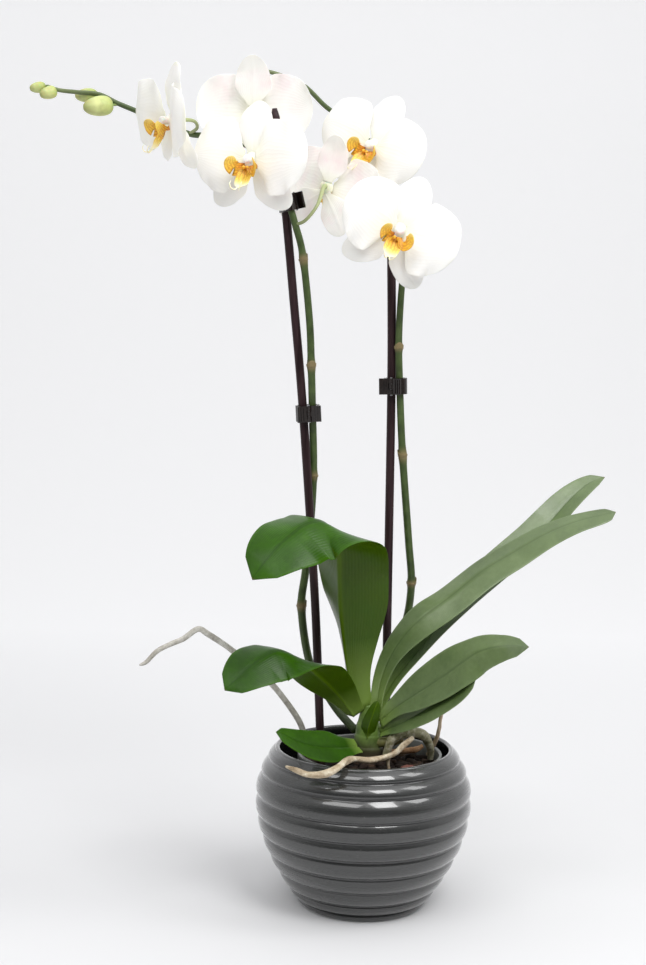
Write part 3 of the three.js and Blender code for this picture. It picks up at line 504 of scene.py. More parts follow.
# Painted sheen: the right leaves' greyer, paler colours stand partly for the bright room that they reflect;
# their green is the leaf's own colour.
LEAF_RIGHT = leaf_material(
    "leaf_grey_painted_sheen", deep=(0.05, 0.09, 0.018), green=(0.098, 0.152, 0.045), pale=(0.17, 0.238, 0.095),
    under=(0.085, 0.19, 0.006), rough=0.34, sheen=0.75,
)
PETAL = petal_material("petal", (0.93, 0.72, 0.74), (0.93, 0.92, 0.82))
PETAL_YELLOW = petal_material("petal_yellow", (0.92, 0.9, 0.5), (0.9, 0.88, 0.52))
LIP = lip_material()
COLUMN = column_material()
SPIKE = stem_material(
    "spike", dark=(0.025, 0.042, 0.01), green=(0.045, 0.075, 0.016), pale=(0.075, 0.115, 0.03),
    tip=(0.45, 0.5, 0.25),
)
CROWN_SKIN = stem_material(
    "crown", dark=(0.06, 0.11, 0.02), green=(0.13, 0.22, 0.04), pale=(0.2, 0.3, 0.07),
    tip=(0.06, 0.045, 0.03),
)
BUD = bud_material()
STAKE = stake_material()
CLIP = clip_material()
STEEL = steel_material()
ROOT_SKINS = {
    "root_aerial_left": root_material("root_silver", (0.26, 0.24, 0.2), (0.47, 0.45, 0.4), (0.66, 0.65, 0.6)),
    "root_over_rim": root_material("root_paper", (0.2, 0.135, 0.075), (0.47, 0.38, 0.26), (0.72, 0.66, 0.52)),
    "root_brown": root_material("root_brown", (0.15, 0.06, 0.02), (0.34, 0.18, 0.09), (0.52, 0.34, 0.2)),
    "root_upright": root_material("root_beige", (0.26, 0.15, 0.08), (0.5, 0.38, 0.27), (0.68, 0.57, 0.43)),
    "root_arch": root_material("root_olive", (0.06, 0.07, 0.02), (0.3, 0.28, 0.17), (0.72, 0.68, 0.58), 0.5),
}

# ---- ceramic pot
POT_HEIGHT = 128
FOOT, BELLY, RIM = 50.5, 88, 72.8
BELLY_HEIGHT = 88
POT_WALL = 5
POT_FLOOR = 8
RIB_DEPTH = 3.0
RIB_LOWEST = 0.3
RIBS = [6, 9.5, 13, 14, 15.5, 15, 16, 18, 11, 10]  # their shares of the height, from the foot up
RIM_ROUND = 2.2
POT_INSET = 0.1
GROOVE_START = 0.78
INSIDE_SHADE, FLOOR_SHADE = 0.35, 0.3
AXIS = 0.5  # the radius at which a turned profile starts and ends


def pot_radius(z):
    low = FOOT + (BELLY - FOOT) * np.sin(np.pi / 2 * (z / BELLY_HEIGHT) ** 0.92)
    high = BELLY - (BELLY - RIM) * ((z - BELLY_HEIGHT) / (POT_HEIGHT - BELLY_HEIGHT)) ** 2
    return np.where(z < BELLY_HEIGHT, low, high)


def rib_profile(bottom, height):
    """One rib as (radius, height, groove shade), fullest a little below its middle."""
    rows = []
    for u in np.linspace(0, 1, 15)[:-1]:
        z = max(bottom + u * height, RIB_LOWEST)
        off_middle = abs(2 * u**0.8 - 1)
        radius = float(pot_radius(z)) - RIB_DEPTH * off_middle**2.6 - POT_INSET
        rows.append((radius, z, max(0.0, (off_middle - GROOVE_START) / (1 - GROOVE_START)) ** 1.5))
    return rows


def ceramic_pot():
    rows = [(AXIS, 3.0, 0), (FOOT - 9, 3.0, 0), (FOOT - 7, 0.0, 0), (FOOT - 3, 0.0, 0)]
    bottom = 0.0
    for rib in RIBS:
        height = rib / sum(RIBS) * POT_HEIGHT
        rows += rib_profile(bottom, height)
        bottom += height
    rim_middle, rim_half = RIM - POT_WALL / 2, POT_WALL / 2 - 0.4
    for a in np.radians(np.linspace(10, 170, 9)):
        rows.append((rim_middle + rim_half * math.cos(a), POT_HEIGHT - RIM_ROUND * (1 - math.sin(a)), 0))
    for z in np.linspace(POT_HEIGHT - POT_WALL, POT_FLOOR + 4, 16):
        rows.append((float(pot_radius(z)) - POT_WALL - RIB_DEPTH, z, INSIDE_SHADE))
    corner = float(pot_radius(POT_FLOOR)) - POT_WALL - RIB_DEPTH
    for radius, z in ((corner - 2, POT_FLOOR + 0.6), (corner - 6, POT_FLOOR), (AXIS, POT_FLOOR)):
        rows.append((radius, z, FLOOR_SHADE))
    profile, grooves = [row[:2] for row in rows], np.array([row[2] for row in rows], float)
    shape = lathe(profile, 160, grooves)
    add_mesh("ceramic_pot", *shape, CERAMIC, "ceramic_glaze", ["outer_pot"], lift=0)


NURSERY_RIM = POT_HEIGHT - 3.7
NURSERY_CENTRE = (4.5, -5)


def nursery_pot():
    """The plain pot that holds the bark: a cone with a band round its mouth."""
    foot, top, lip, wall, floor = 43, 56.9, 1.6, 1.2, 8.3

    def radius(z):
        return np.interp(z, [floor, NURSERY_RIM], [foot, top])

    outside = [(AXIS, floor), (foot - 2, floor), (foot, floor + 2)]
    outside += [(radius(z), z) for z in np.linspace(20, NURSERY_RIM - 7.6, 12)]
    band = [(-0.6, -7), (lip - 0.4, -6.8), (lip, -6.2), (lip, -0.8), (lip - 0.5, 0), (0.4 - wall, 0)]
    band = [(top + past, NURSERY_RIM + below) for past, below in band]
    inside = [(radius(z) - wall, z) for z in np.linspace(NURSERY_RIM - 1, floor + 3, 14)]
    profile = outside + band + inside + [(foot - 4, floor + wall), (AXIS, floor + wall)]
    points, faces, data = lathe(profile, 144, np.zeros(len(profile)))
    points = np.array(points) + [*NURSERY_CENTRE, 0]
    add_mesh("nursery_pot_look", points, faces, data, NURSERY, "nursery_plastic", ["nursery_pot"], lift=0)


# ---- bark
CHIPS_LAID = 330
CHIP_LAYERS = 3
BARK_REACH = 51
POT_REACH = 54.5
HEAP = 2.5  # how much higher the chips lie at the middle than at the edge


def chip(size, centre, turn, tone):
    """A rough chip: a squared-off ball of points, dented and turned."""
    rings, sides = 7, 10
    a = np.linspace(0.12, math.pi - 0.12, rings)[:, None]
    b = (np.arange(sides) * 2 * math.pi / sides)[None, :]
    ball = [np.sin(a) * np.cos(b), np.sin(a) * np.sin(b), np.cos(a) * np.ones_like(b)]
    p = np.stack(ball, axis=-1).reshape(-1, 3)
    p = np.sign(p) * np.abs(p) ** 0.55
    p = p * (1 + rng.normal(0, 0.09, p.shape)) * np.asarray(size) / 2
    p = p @ np.array(turn).T + centre
    return p, ring_faces(rings, sides), {"tone": np.full(len(p), tone)}


def bark_chips():
    """Loose chips in layers over the bark's surface, with one reddish piece."""
    parts = []
    x, y = NURSERY_CENTRE
    for i in range(CHIPS_LAID):
        layer = i % CHIP_LAYERS
        reach = BARK_REACH * math.sqrt(rng.uniform(0.01, 1))
        angle = rng.uniform(0, 2 * math.pi)
        length = rng.uniform(8, 17)
        reach = min(reach, POT_REACH - length / 2)
        size = (length, rng.uniform(6, 10), rng.uniform(3, 6))
        height = -1.5 + 2.2 * layer + rng.uniform(-1, 1) + HEAP * (1 - (reach / 52) ** 2)
        centre = [x + reach * math.cos(angle), y + reach * math.sin(angle), height]
        turn = Matrix.Rotation(rng.uniform(0, 6.28), 3, "Z") @ Matrix.Rotation(rng.normal(0, 0.35), 3, "X")
        turn = turn @ Matrix.Rotation(rng.normal(0, 0.3), 3, "Y")
        parts.append(chip(size, centre, turn, rng.uniform(0.2, 1)))
    add_mesh("bark_chips", *join(parts), CHIPS, "bark")
    red = chip((13, 9, 7), [34, -32, 7], Matrix.Rotation(0.7, 3, "Z"), 0.8)
    reddish = bark_material("bark_red", (0.05, 0.015, 0.012), (0.14, 0.05, 0.04), (0.27, 0.12, 0.09))
    add_mesh("bark_red_chip", *red, reddish, "bark")
    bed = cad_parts["bark_mix"].data.materials
    bed.clear()
    bed.append(BARK)


# ---- stakes and spikes
STAKE_RADIUS = 3.5
STAKE_DEPTH = 60
STAKE_LEAN = 0.85
STAKE_ROUTES = {
    "left": [[-35, 15.5, 8], [-42, 17, 134], [-54, 14, 287], [-63, 10, 378], [-71, 5, 455], [-80, -1, 526]],
    "right": [[18.5, 26, 8], [18, 25, 108], [17, 14, 310], [15, 14, 409], [14, 14, 450]],
}
SPIKE_FOOT, SPIKE_END = 3.4, 1.5
SPIKE_ROUTES = {
    "left": [
        [-6, 7, 27], [-22, 20, 42], [-36, 27, 62], [-47, 26, 85], [-53, 24, 127], [-50, 26, 158],
        [-46, 24, 208], [-45, 21, 245], [-46.5, 15, 287], [-48, 9, 327], [-50, 6, 362], [-56, 2, 412],
        [-62, -0.5, 435], [-68, -2.2, 453], [-75, -6, 470], [-88, -12, 488], [-110, -13, 499],
        [-130, -7, 503], [-147, 4, 506], [-167, 12, 515], [-189, 12, 524], [-205, 10, 530],
        [-219, 7, 536], [-236, 4, 537], [-250, 2, 538], [-260, 1, 541],
    ],
    "right": [
        [7, 12, 29], [8, 24, 50], [14, 33, 74], [24, 38, 95], [34, 37, 114], [37.5, 30, 147],
        [34, 23, 184], [27, 15.5, 257], [23.5, 10.5, 310], [22, 8.8, 346], [23, 11.5, 379],
        [25, 16, 410], [25, 24, 435], [19, 35, 467], [3, 42, 501], [-20, 42, 522], [-40, 36, 535],
        [-58, 29, 550], [-81, 23, 558], [-108, 18, 562],
    ],
}
SPIKE_JOINTS = {"left": [0.161, 0.27, 0.358, 0.437], "right": [0.264, 0.366, 0.465]}


def stake(name):
    """A cane whose foot leans in with the nursery pot's wall."""
    route = STAKE_ROUTES[name]
    foot = [c + STAKE_LEAN * (at - c) for c, at in zip(NURSERY_CENTRE, route[0])]
    foot.append(-STAKE_DEPTH)
    shape = tube([foot, *route], lambda t: np.full(len(t), STAKE_RADIUS), sides=28, steps=90, rough=0.008)
    add_mesh(f"bamboo_{name}", *shape, STAKE, "stake", [f"stake_{name}"])


def bract(route, t0, radius, length, turn):
    """The papery sheath at a joint of a spike: a close collar, drawn out to a point on one side."""
    sides, steps = 18, 8
    centre = curve(route, np.array([t0, t0 + 1e-3]))
    way = unit(centre[1] - centre[0])
    across = unit(np.cross(way, [0.2, 1, 0.1]))
    other = np.cross(way, across)
    angle = np.arange(sides) * 2 * math.pi / sides
    high = 1.5 + length * (0.5 + 0.5 * np.cos(angle - turn)) ** 3
    rings = []
    for shell in (0.55, 0.15):
        order = np.linspace(0, 1, steps) if shell > 0.5 else np.linspace(1, 0, steps)
        for share in order:
            reach = radius + shell + 0.25 * share
            rise = way * ((share * high)[:, None] - 1)
            flat = across * np.cos(angle)[:, None] + other * np.sin(angle)[:, None]
            rings.append(centre[0] + rise + flat * reach)
    points = np.concatenate(rings)
    size = 2 * steps
    faces = []
    for i in range(size):
        a, b = i * sides, (i + 1) % size * sides
        faces += [(a + k, a + (k + 1) % sides, b + (k + 1) % sides, b + k) for k in range(sides)]
    return points, faces, {"joint": np.full(len(points), 0.9), "pale": np.zeros(len(points))}


def spike(name):
    route, joints = SPIKE_ROUTES[name], SPIKE_JOINTS[name]

    def radius(t):
        swell = sum(bump(t, joint, 0.0045) for joint in joints)
        return SPIKE_FOOT + (SPIKE_END - SPIKE_FOOT) * t**1.5 + 0.7 * swell

    def ring(t):
        return np.clip(sum(bump(t, joint, 0.0035) for joint in joints), 0, 1)

    parts = [tube(route, radius, 22, 420, 0.02, joint=ring, pale=lambda t: 0.25 * smooth((t - 0.8) / 0.2))]
    for i, joint in enumerate(joints):
        parts.append(bract(route, joint, float(radius(np.array([joint]))[0]) - 0.3, 4, 2.1 * i + 4))
    add_mesh(f"spike_{name}_look", *join(parts), SPIKE, "flower_spike", [f"flower_spike_{name}"])


# ---- flowers
FLOWERS = {
    "flower_end": dict(
        spike="left", centre=[-158, -34, 510], facing=[-0.86, -0.48, -0.16], roll=14,
        size=0.97, sweep=9, pedicel=[[-147, 4, 506], [-140, -8, 509], [-142, -21, 512]],
    ),
    "flower_left_front": dict(
        spike="left", centre=[-96, -34, 481], facing=[-0.4, -0.91, -0.03], roll=5,
        size=1.03, sweep=3, pedicel=[[-108, -13, 498], [-98, -15, 494], [-93, -21, 485]],
    ),
    "flower_left_back": dict(
        spike="left", centre=[-97, 14, 525], facing=[0.08, 1, 0.12], roll=0,
        size=1, sweep=3, pedicel=[[-92, -12.5, 490], [-96, -13, 504], [-97, -5, 518]],
    ),
    "flower_low_back": dict(
        spike="left", centre=[-38, 8, 466], facing=[0.48, 0.88, 0], roll=-18,
        size=0.95, sweep=7, pedicel=[[-62, -0.6, 436], [-54, -7, 439], [-45, -6, 451]],
    ),
    "flower_right_back": dict(
        spike="right", centre=[-2, 18, 501], facing=[-0.4, -0.91, 0.05], roll=25,
        size=1, sweep=3, pedicel=[[14, 37, 478], [9, 38, 490], [4, 32, 499]],
    ),
    "flower_right_front": dict(
        spike="right", centre=[18, -36, 429], facing=[0.05, -1, -0.05], roll=25,
        size=1.02, sweep=3, pedicel=[[25, 17, 414], [30, 4, 422], [26, -14, 431], [19, -26, 431]],
    ),
}
PETAL_REACH = 47
SEPAL_REACH = 44
LIP_REACH = 22
PETAL_THICKNESS = 0.9
SOFT_CUP = [0, -0.05, -0.1]
PEDICEL_RADIUS = 1.35


def flower_blades(size, sweep):
    """The flower's sepals, petals and lip, in its own frame: X right, Y up, Z the way it faces."""
    wide, tall, low = PETAL_REACH, SEPAL_REACH, LIP_REACH

    def sized(points):
        return (np.array(points, float) * size).tolist()

    def petal(way):
        return dict(
            spine=sized([
                [4.6 * way, 1, 2.5], [0.33 * wide * way, 2, 3 + sweep * 0.4],
                [0.68 * wide * way, 3, 3 + sweep], [wide * way, 2, sweep],
            ]),
            sides=[[0, way, 0]], half=28 * size, base=0.2, full=0.4, narrow=0.38,
            power=2.3, fold=[0], cup=[0, -0.08, -0.14],
        )

    def lateral(way):
        return dict(
            spine=sized([
                [1.6 * way, -4.6, -1.8], [0.26 * tall * way, -0.31 * tall, -2],
                [0.5 * tall * way, -0.55 * tall, -3], [0.72 * tall * way, -0.73 * tall, -7],
            ]),
            sides=[[0.7, 0.72 * way, 0]], half=13.5 * size, base=0.3, full=0.45,
            narrow=0.35, power=2, fold=[0], cup=SOFT_CUP,
        )

    def lobe(way):
        return dict(
            spine=sized([
                [2.4 * way, -5.8, 4.5], [0.34 * low * way, -7.5, 10], [0.44 * low * way, -4, 13.5],
                [0.38 * low * way, 1, 15.5],
            ]),
            sides=[[0.6, -0.3, 0.75 * way]], half=6 * size, base=0.5, full=0.4, narrow=0.4,
            power=2.2, fold=[0], cup=[0],
        )

    dorsal = dict(
        spine=sized([[0, 4.6, -1.8], [0, 0.37 * tall, -2], [0, 0.7 * tall, -3], [0, tall, -7]]),
        sides=[[-1, 0, 0]], half=15 * size, base=0.3, full=0.45, narrow=0.35,
        power=2, fold=[0], cup=SOFT_CUP,
    )
    middle = dict(
        spine=sized([[0, -5.2, 3.5], [0, -0.55 * low, 7], [0, -0.86 * low, 12], [0, -low, 18]]),
        sides=[[1, 0, 0]], half=7 * size, base=0.55, full=0.35, narrow=0.4,
        power=1.6, fold=[25, 20, 10], cup=[0],
    )
    return {
        "dorsal_sepal": [dorsal], "lower_sepals": [lateral(1), lateral(-1)],
        "petal_left": [petal(-1)], "petal_right": [petal(1)], "lip": [middle, lobe(1), lobe(-1)],
    }


def flower_matrix(flower):
    z = Vector(flower["facing"]).normalized()
    x0 = Vector((0, 0, 1)).cross(z).normalized()
    y0 = z.cross(x0)
    angle = math.radians(flower["roll"])
    y = y0 * math.cos(angle) + x0 * math.sin(angle)
    x = y.cross(z)
    matrix = Matrix((x, y, z)).transposed().to_4x4()
    matrix.translation = Vector(flower["centre"])
    return matrix


def lip_parts(blades, size):
    """The lip's three lobes, its warty callus and the two curled threads at its tip."""
    parts = []
    for i, shape in enumerate(blades):
        p, f, data = blade(shape, PETAL_THICKNESS, 30, 15, wave=0.06 if i == 0 else 0.03, waves=2)
        if i:
            data["along"] = data["along"] * 0.62
            data["under"] = 1 - data["under"] if i == 2 else data["under"]
        parts.append((p, f, data))
    extra = {"across": none, "under": none}
    tip = -LIP_REACH
    for way in (1, -1):
        thread = [
            [0.8 * way, tip + 0.8, 17], [1.6 * way, tip - 1.5, 20], [3.4 * way, tip - 0.6, 22.5],
            [4.6 * way, tip + 2.4, 22.8], [4.4 * way, tip + 4.4, 21.3],
        ]
        p, f, data = tube(np.array(thread) * size, [0.55, 0.5, 0.42, 0.34, 0.2], 8, 24, **extra)
        data["along"] = np.full(len(p), 1.0)
        parts.append((p, f, data))
        lump = [[1.3 * way, -6.2, 6], [1.5 * way, -6.4, 8], [1.7 * way, -5.6, 9.6]]
        p, f, data = tube(np.array(lump) * size, [1.0, 1.5, 1.0], 10, 8, **extra)
        data["along"] = np.full(len(p), 0.25)
        parts.append((p, f, data))
    return join(parts)


def flower(name, f):
    """A flower's blades and lip, with the stalk and the column that hold them."""
    matrix = flower_matrix(f)
    size = f["size"]
    blades = flower_blades(size, f["sweep"])
    skin = PETAL_YELLOW if name == "flower_end" else PETAL
    for part in ("dorsal_sepal", "lower_sepals", "petal_left", "petal_right"):
        broad = part.startswith("petal")
        wave, keel = (0.055, 0.0) if broad else (0.04, 0.35)
        shapes = [
            blade(shape, PETAL_THICKNESS, 48, 31, wave=wave, waves=2.6, keel=keel, groove=0.25)
            for shape in blades[part]
        ]
        own = skin if part != "lower_sepals" else PETAL
        add_mesh(f"{name}_{part}_look", *join(shapes), own, "petal", [f"{name}_{part}"], matrix=matrix)
    lip = lip_parts(blades["lip"], size)
    add_mesh(f"{name}_lip_look", *lip, LIP, "lip", [f"{name}_lip"], matrix=matrix)

    centre, way = np.array(f["centre"], float), unit(np.array(f["facing"], float))
    stalk = [*f["pedicel"], (centre - 5 * way).tolist(), centre.tolist()]
    radii = [PEDICEL_RADIUS] * (len(stalk) - 2) + [1.8, 2.4]
    shape = tube(stalk, radii, 16, 60, 0.03, joint=none, pale=lambda t: 0.55 + 0.4 * smooth(t))
    add_mesh(f"{name}_pedicel", *shape, SPIKE, "flower_spike", [f"flower_spike_{f['spike']}"])
    column = [(centre + way * d * size).tolist() for d in (-2.6, -1.2, 0.4, 2.4, 4.6, 7, 9)]
    shape = tube(column, [4, 6.4, 4.6, 2.9, 2.9, 3.6, 2.7], 24, 40)
    add_mesh(f"{name}_column", *shape, COLUMN, "petal", [f"flower_spike_{f['spike']}"])


BUDS = [
    {"from": [-205, 10, 529], "tip": [-230, -2, 524], "radius": 8, "length": 21},
    {"from": [-216, 8, 536], "tip": [-239, 14, 536], "radius": 5.6, "length": 16},
    {"from": [-250, 2, 538], "tip": [-264, -3, 533], "radius": 5, "length": 12},
    {"from": [-258, 1.5, 541], "tip": [-273, 3, 539], "radius": 4.3, "length": 11},
]


def bud(i, b):
    """A stalk that swells into a closed bud with three seams where the sepals meet."""
    tip = np.array(b["tip"], float)
    way = unit(tip - b["from"])
    start = tip - way * b["length"]
    sides = 30

    def radius(t):
        swell = 1.0 + (b["radius"] - 1.0) * np.sin(np.pi * np.clip((t - 0.35) / 0.65, 0, 1)) ** 0.55
        return np.where(t < 0.35, 1.0, swell)

    points, faces, data = tube([b["from"], start.tolist(), tip.tolist()], radius, sides, 60)
    rings = len(points) // sides
    seam = np.abs(np.sin(1.5 * np.arange(sides) * 2 * math.pi / sides + 0.4 * i)) ** 0.3
    centre = points.reshape(rings, sides, 3).mean(axis=1, keepdims=True)
    grid = centre + (points.reshape(rings, sides, 3) - centre) * (0.93 + 0.07 * seam)[None, :, None]
    add_mesh(f"bud_{i + 1}", grid.reshape(-1, 3), faces, data, BUD, "flower_spike", ["flower_spike_left"])


# ---- leaves
LEAF_THICKNESS = 1.9
LEAVES = {
    "leaf_crown": dict(
        spine=[[2, -13, 27], [3, -15, 37], [6, -15, 47], [10, -13, 58]],
        sides=[[1, -0.1, 0]], half=8, base=0.8, full=0.5, narrow=0.2, power=1.6,
        fold=[35, 30, 20], cup=SOFT_CUP,
    ),
    "leaf_front_small": dict(
        spine=[[-6, -17, 21], [-24, -35, 25], [-46, -54, 32], [-70, -68, 45]],
        sides=[[0.3, -0.8, -0.5], *[[0.1, -0.8, -0.6]] * 3],
        half=15, base=0.5, full=0.5, narrow=0.4, power=1.8, fold=[10, 5, 5],
        cup=SOFT_CUP,
    ),
    "leaf_left_low": dict(
        spine=[
            [-9, -9, 44], [-17, -15, 57], [-27, -21, 70], [-39, -30, 83], [-50, -39, 94], [-61, -47, 102],
            [-71, -54, 105], [-81, -60, 101], [-91, -66, 94], [-100, -71, 86], [-109, -75, 78],
        ],
        sides=[
            [0.8, -0.3, 0.2], [0.7, -0.4, 0.4], [0.65, -0.5, 0.45], [0.65, -0.55, 0.35], [0.65, -0.65, 0.1],
            [0.55, -0.75, -0.25], [0.5, -0.75, -0.4], [0.45, -0.68, -0.5], [0.42, -0.62, -0.6],
            [0.4, -0.6, -0.6], [0.4, -0.6, -0.6],
        ],
        half=26, base=0.4, full=0.35, narrow=0.56, power=1.7,
        fold=[30, 14, 6, 4, -4, -16, -20, -14, -2, 8, 10], cup=[0, -0.05, -0.1, -0.1],
    ),
    "leaf_right_mid": dict(
        spine=[
            [12, -10, 40], [26, -19, 55], [40, -27, 67], [60, -38, 84], [74, -46, 97], [86, -53, 107],
            [103, -61, 113], [122, -68, 114],
        ],
        sides=[
            [0.7, -0.5, -0.3], [0.5, -0.7, -0.4], [0.4, -0.7, -0.55], [0.4, -0.7, -0.55],
            [0.35, -0.7, -0.6], [0.3, -0.65, -0.65], [0.2, -0.65, -0.7], [0.2, -0.65, -0.7],
        ],
        half=19, base=0.32, full=0.45, narrow=0.53, power=1.5,
        fold=[-25, -12, -7, 4, 20, 26, 16], cup=SOFT_CUP,
    ),
    "leaf_right_under": dict(
        spine=[[13, -10, 31], [29, -22, 42], [50, -35, 58], [68, -45, 72], [84, -54, 87]],
        sides=[[0.6, -0.7, -0.3], [0.5, -0.7, -0.5], *[[0.4, -0.7, -0.6]] * 3],
        half=14, base=0.32, full=0.5, narrow=0.5, power=2.2, fold=[-30, -18, -8],
        cup=SOFT_CUP,
    ),
    "leaf_left_tall": dict(
        spine=[
            [-5, -8, 47], [-14, -12, 80], [-19, -17, 109], [-22, -23, 136], [-23, -29, 160],
            [-24, -36, 182], [-29, -44, 199], [-38, -51, 206], [-50, -58, 204], [-60, -63, 197],
            [-70, -68, 188], [-80, -73, 176], [-89, -76, 163],
        ],
        sides=[
            [0.9, -0.3, 0], [0.75, -0.66, 0], [0.75, -0.66, 0], [0.8, -0.6, 0], [0.84, -0.54, 0],
            [0.86, -0.45, -0.25], [0.74, -0.55, -0.35], [0.6, -0.65, -0.37], [0.5, -0.75, -0.43],
            [0.48, -0.68, -0.55], [0.45, -0.6, -0.64], [0.45, -0.55, -0.68], [0.45, -0.55, -0.68],
        ],
        half=39, base=0.32, full=0.27, narrow=0.5, power=1.6,
        fold=[33, 42, 42, 36, 33, 20, 0, -18, -20, -16, -6, 4, 8], cup=[0, -0.03, -0.06, -0.1],
    ),
    "leaf_right_long_front": dict(
        spine=[
            [9, -6, 48], [12, -6, 70], [19, -5, 90], [30, -4, 108], [45, -3, 124], [66, -1, 140],
            [93, 1, 162], [119, 3, 178], [143, 5, 192], [167, 7, 202], [190, 9, 208], [201, 10, 211],
        ],
        sides=[
            [1, -0.3, 0], [0.9, -0.5, -0.2], [0.7, -0.65, -0.3], [0.5, -0.7, -0.5], [0.4, -0.7, -0.55],
            [0.35, -0.8, -0.45], *[[0.3, -0.85, -0.42]] * 3, [0.25, -0.85, -0.42], *[[0.2, -0.85, -0.45]] * 2,
        ],
        half=18.5, base=0.3, full=0.5, narrow=0.54, power=1.4,
        fold=[-30, -10, 8, 14, 14, 12, 10, 6], cup=SOFT_CUP,
    ),
    "leaf_right_long_back": dict(
        spine=[
            [10, 5, 45], [24, 9, 69], [41, 14, 90], [59, 19, 111], [78, 24, 130], [98, 30, 148],
            [119, 36, 166], [138, 42, 182], [154, 48, 198], [166, 54, 211], [178, 60, 222],
            [190, 66, 230], [203, 70, 235],
        ],
        sides=[[0.9, -0.4, -0.2], [0.7, -0.6, -0.4], [0.6, -0.7, -0.4], *[[0.5, -0.7, -0.5]] * 4],
        half=16.5, base=0.34, full=0.45, narrow=0.55, power=1.4,
        fold=[-30, -28, -24, -22, -18, -10, -4], cup=SOFT_CUP,
    ),
}


def leaf(name, shape):
    """A leaf. Those on the right show the side that their normal points away from."""
    right = "right" in name
    skin, groove = (LEAF_RIGHT, 0.6) if right else (LEAF_LEFT, 0.8)
    wave = 0.0 if name == "leaf_crown" else 0.02
    parts = blade(
        shape, LEAF_THICKNESS, 110, 41, wave=wave, waves=3, groove=groove, keel=0.7, turned=right, point=0.06
    )
    add_mesh(f"{name}_look", *parts, skin, "leaf", [name])


# ---- stem base and roots
CROWN = {"x": 3, "y": -3, "foot": -8, "top": 53}
OLD_STUB = [[6, -6, 22], [20, -11, 24], [31, -12, 27.5]]
CUT_SPIKE = [[8, 2, 26], [26, 4, 31], [43, 2, 41]]


def stem_base():
    """The short trunk with the collars of old leaves, and two stubs of cut spikes."""
    rise = CROWN["top"] - CROWN["foot"]
    trunk = [[CROWN["x"], CROWN["y"], CROWN["foot"] + share * rise] for share in (0, 0.4, 0.7, 1)]

    def body(t):
        collar = 1 + 0.05 * ((t * 5.5) % 1.0)
        return along([11, 11.9, 9.5, 4.8], t) * collar

    def brown(t):
        return 1 - smooth((t - 0.25) / 0.35)

    def dried(t):
        return 0.2 + 0.6 * smooth((t - 0.8) / 0.2)

    parts = [
        tube(trunk, body, 36, 70, 0.02, joint=none, pale=brown),
        tube(OLD_STUB, [4.0, 4.2, 3.0], 20, 30, 0.05, joint=lambda t: 0.5 + 0.4 * t, pale=none),
        tube(CUT_SPIKE, [3.4, 3.2, 2.4], 20, 30, 0.05, joint=dried, pale=none),
    ]
    add_mesh("stem_base_look", *join(parts), CROWN_SKIN, "stem_base", ["stem_base"])


ROOTS = {
    "root_aerial_left": dict(
        route=[
            [-43, 6, 8], [-48, 10, 20], [-53, 13, 33], [-63, 13, 48], [-75, 9, 64], [-90, 1, 80],
            [-111, -8, 98], [-127, -14, 110], [-135, -16, 114], [-146, -20, 107], [-156, -24, 103],
            [-166, -28, 98], [-174, -32, 90], [-179, -34, 88],
        ],
        radii=[2.9, 2.8, 2.7, 2.7, 2.6, 2.5, 2.5, 2.6, 2.6, 2.3, 2.2, 2.1, 1.7, 1.0],
    ),
    "root_over_rim": dict(
        route=[
            [38, -30, 33], [30, -33, 27], [22, -37, 21], [5, -46, 18], [-9, -55, 21.5], [-16, -68, 23],
            [-22, -79, 21], [-31, -84, 18], [-44, -85, 17], [-54, -80, 19], [-62, -74, 20],
        ],
        radii=[2, 2.5, 2.3, 2.8, 2.5, 3, 2.8, 3.3, 2.5, 2.1, 0.9],
    ),
    "root_brown": dict(
        route=[[20, -4, 14], [30, 6, 12], [38, 12, 11], [44, 16, 11], [49, 19, 13]],
        radii=[1.6, 2.5, 2.7, 2.6, 1.8],
    ),
    "root_upright": dict(
        route=[[52, 2, 10], [58, -4, 24], [60, -9, 35], [61, -11, 45], [64, -13, 55]],
        radii=[1.9, 1.9, 1.7, 1.5, 1.0],
    ),
    "root_arch": dict(
        route=[[17, -17, 14], [22, -18, 28], [34, -17, 33], [46, -13, 31], [53, -7, 20], [54, -3, 8]],
        radii=[3, 4, 4.6, 4.4, 3.4, 2.6],
    ),
}
ROOT_SLIMMING = 0.93
SIDE_ROOT = [[19, -38, 20], [18, -37, 13], [20, -36, 4]]


def root(name, shape):
    """A root. The papery one over the rim is rougher, with a side root down into the bark."""
    papery = name == "root_over_rim"
    radii = [r * ROOT_SLIMMING for r in shape["radii"]]
    parts = [tube(shape["route"], radii, 24, 130, 0.2 if papery else 0.12)]
    if papery:
        parts.append(tube(SIDE_ROOT, [1.5, 1.2, 0.9], 12, 20, 0.1))
    add_mesh(f"{name}_look", *join(parts), ROOT_SKINS[name], "root", [name])


# ---- clips
PIN_ROUNDING, CLIP_ROUNDING = 0.25, 0.42


def clips():
    """The clips keep their own moulded shape, with their edges rounded."""
    for name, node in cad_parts.items():
        if not name.startswith("clip_"):
            continue
        pin = name.endswith("spring_pin")
        node.data.materials.clear()
        node.data.materials.append(STEEL if pin else CLIP)
        bevel = node.modifiers.new("rounded", "BEVEL")
        bevel.width = (PIN_ROUNDING if pin else CLIP_ROUNDING) * MM
        bevel.segments = 3
        bevel.angle_limit = math.radians(38)
        bevel.harden_normals = True


# ---- stage, light, camera
FLOOR_GLOW, BEND_GLOW, WALL_GLOW = 0.05, 0.31, 0.5
FLOOR_NEAR, FLOOR_FAR, FLOOR_HALF = -3.0, 1.2, 6.0
BEND_RADIUS, WALL_TOP = 1.2, 5.0


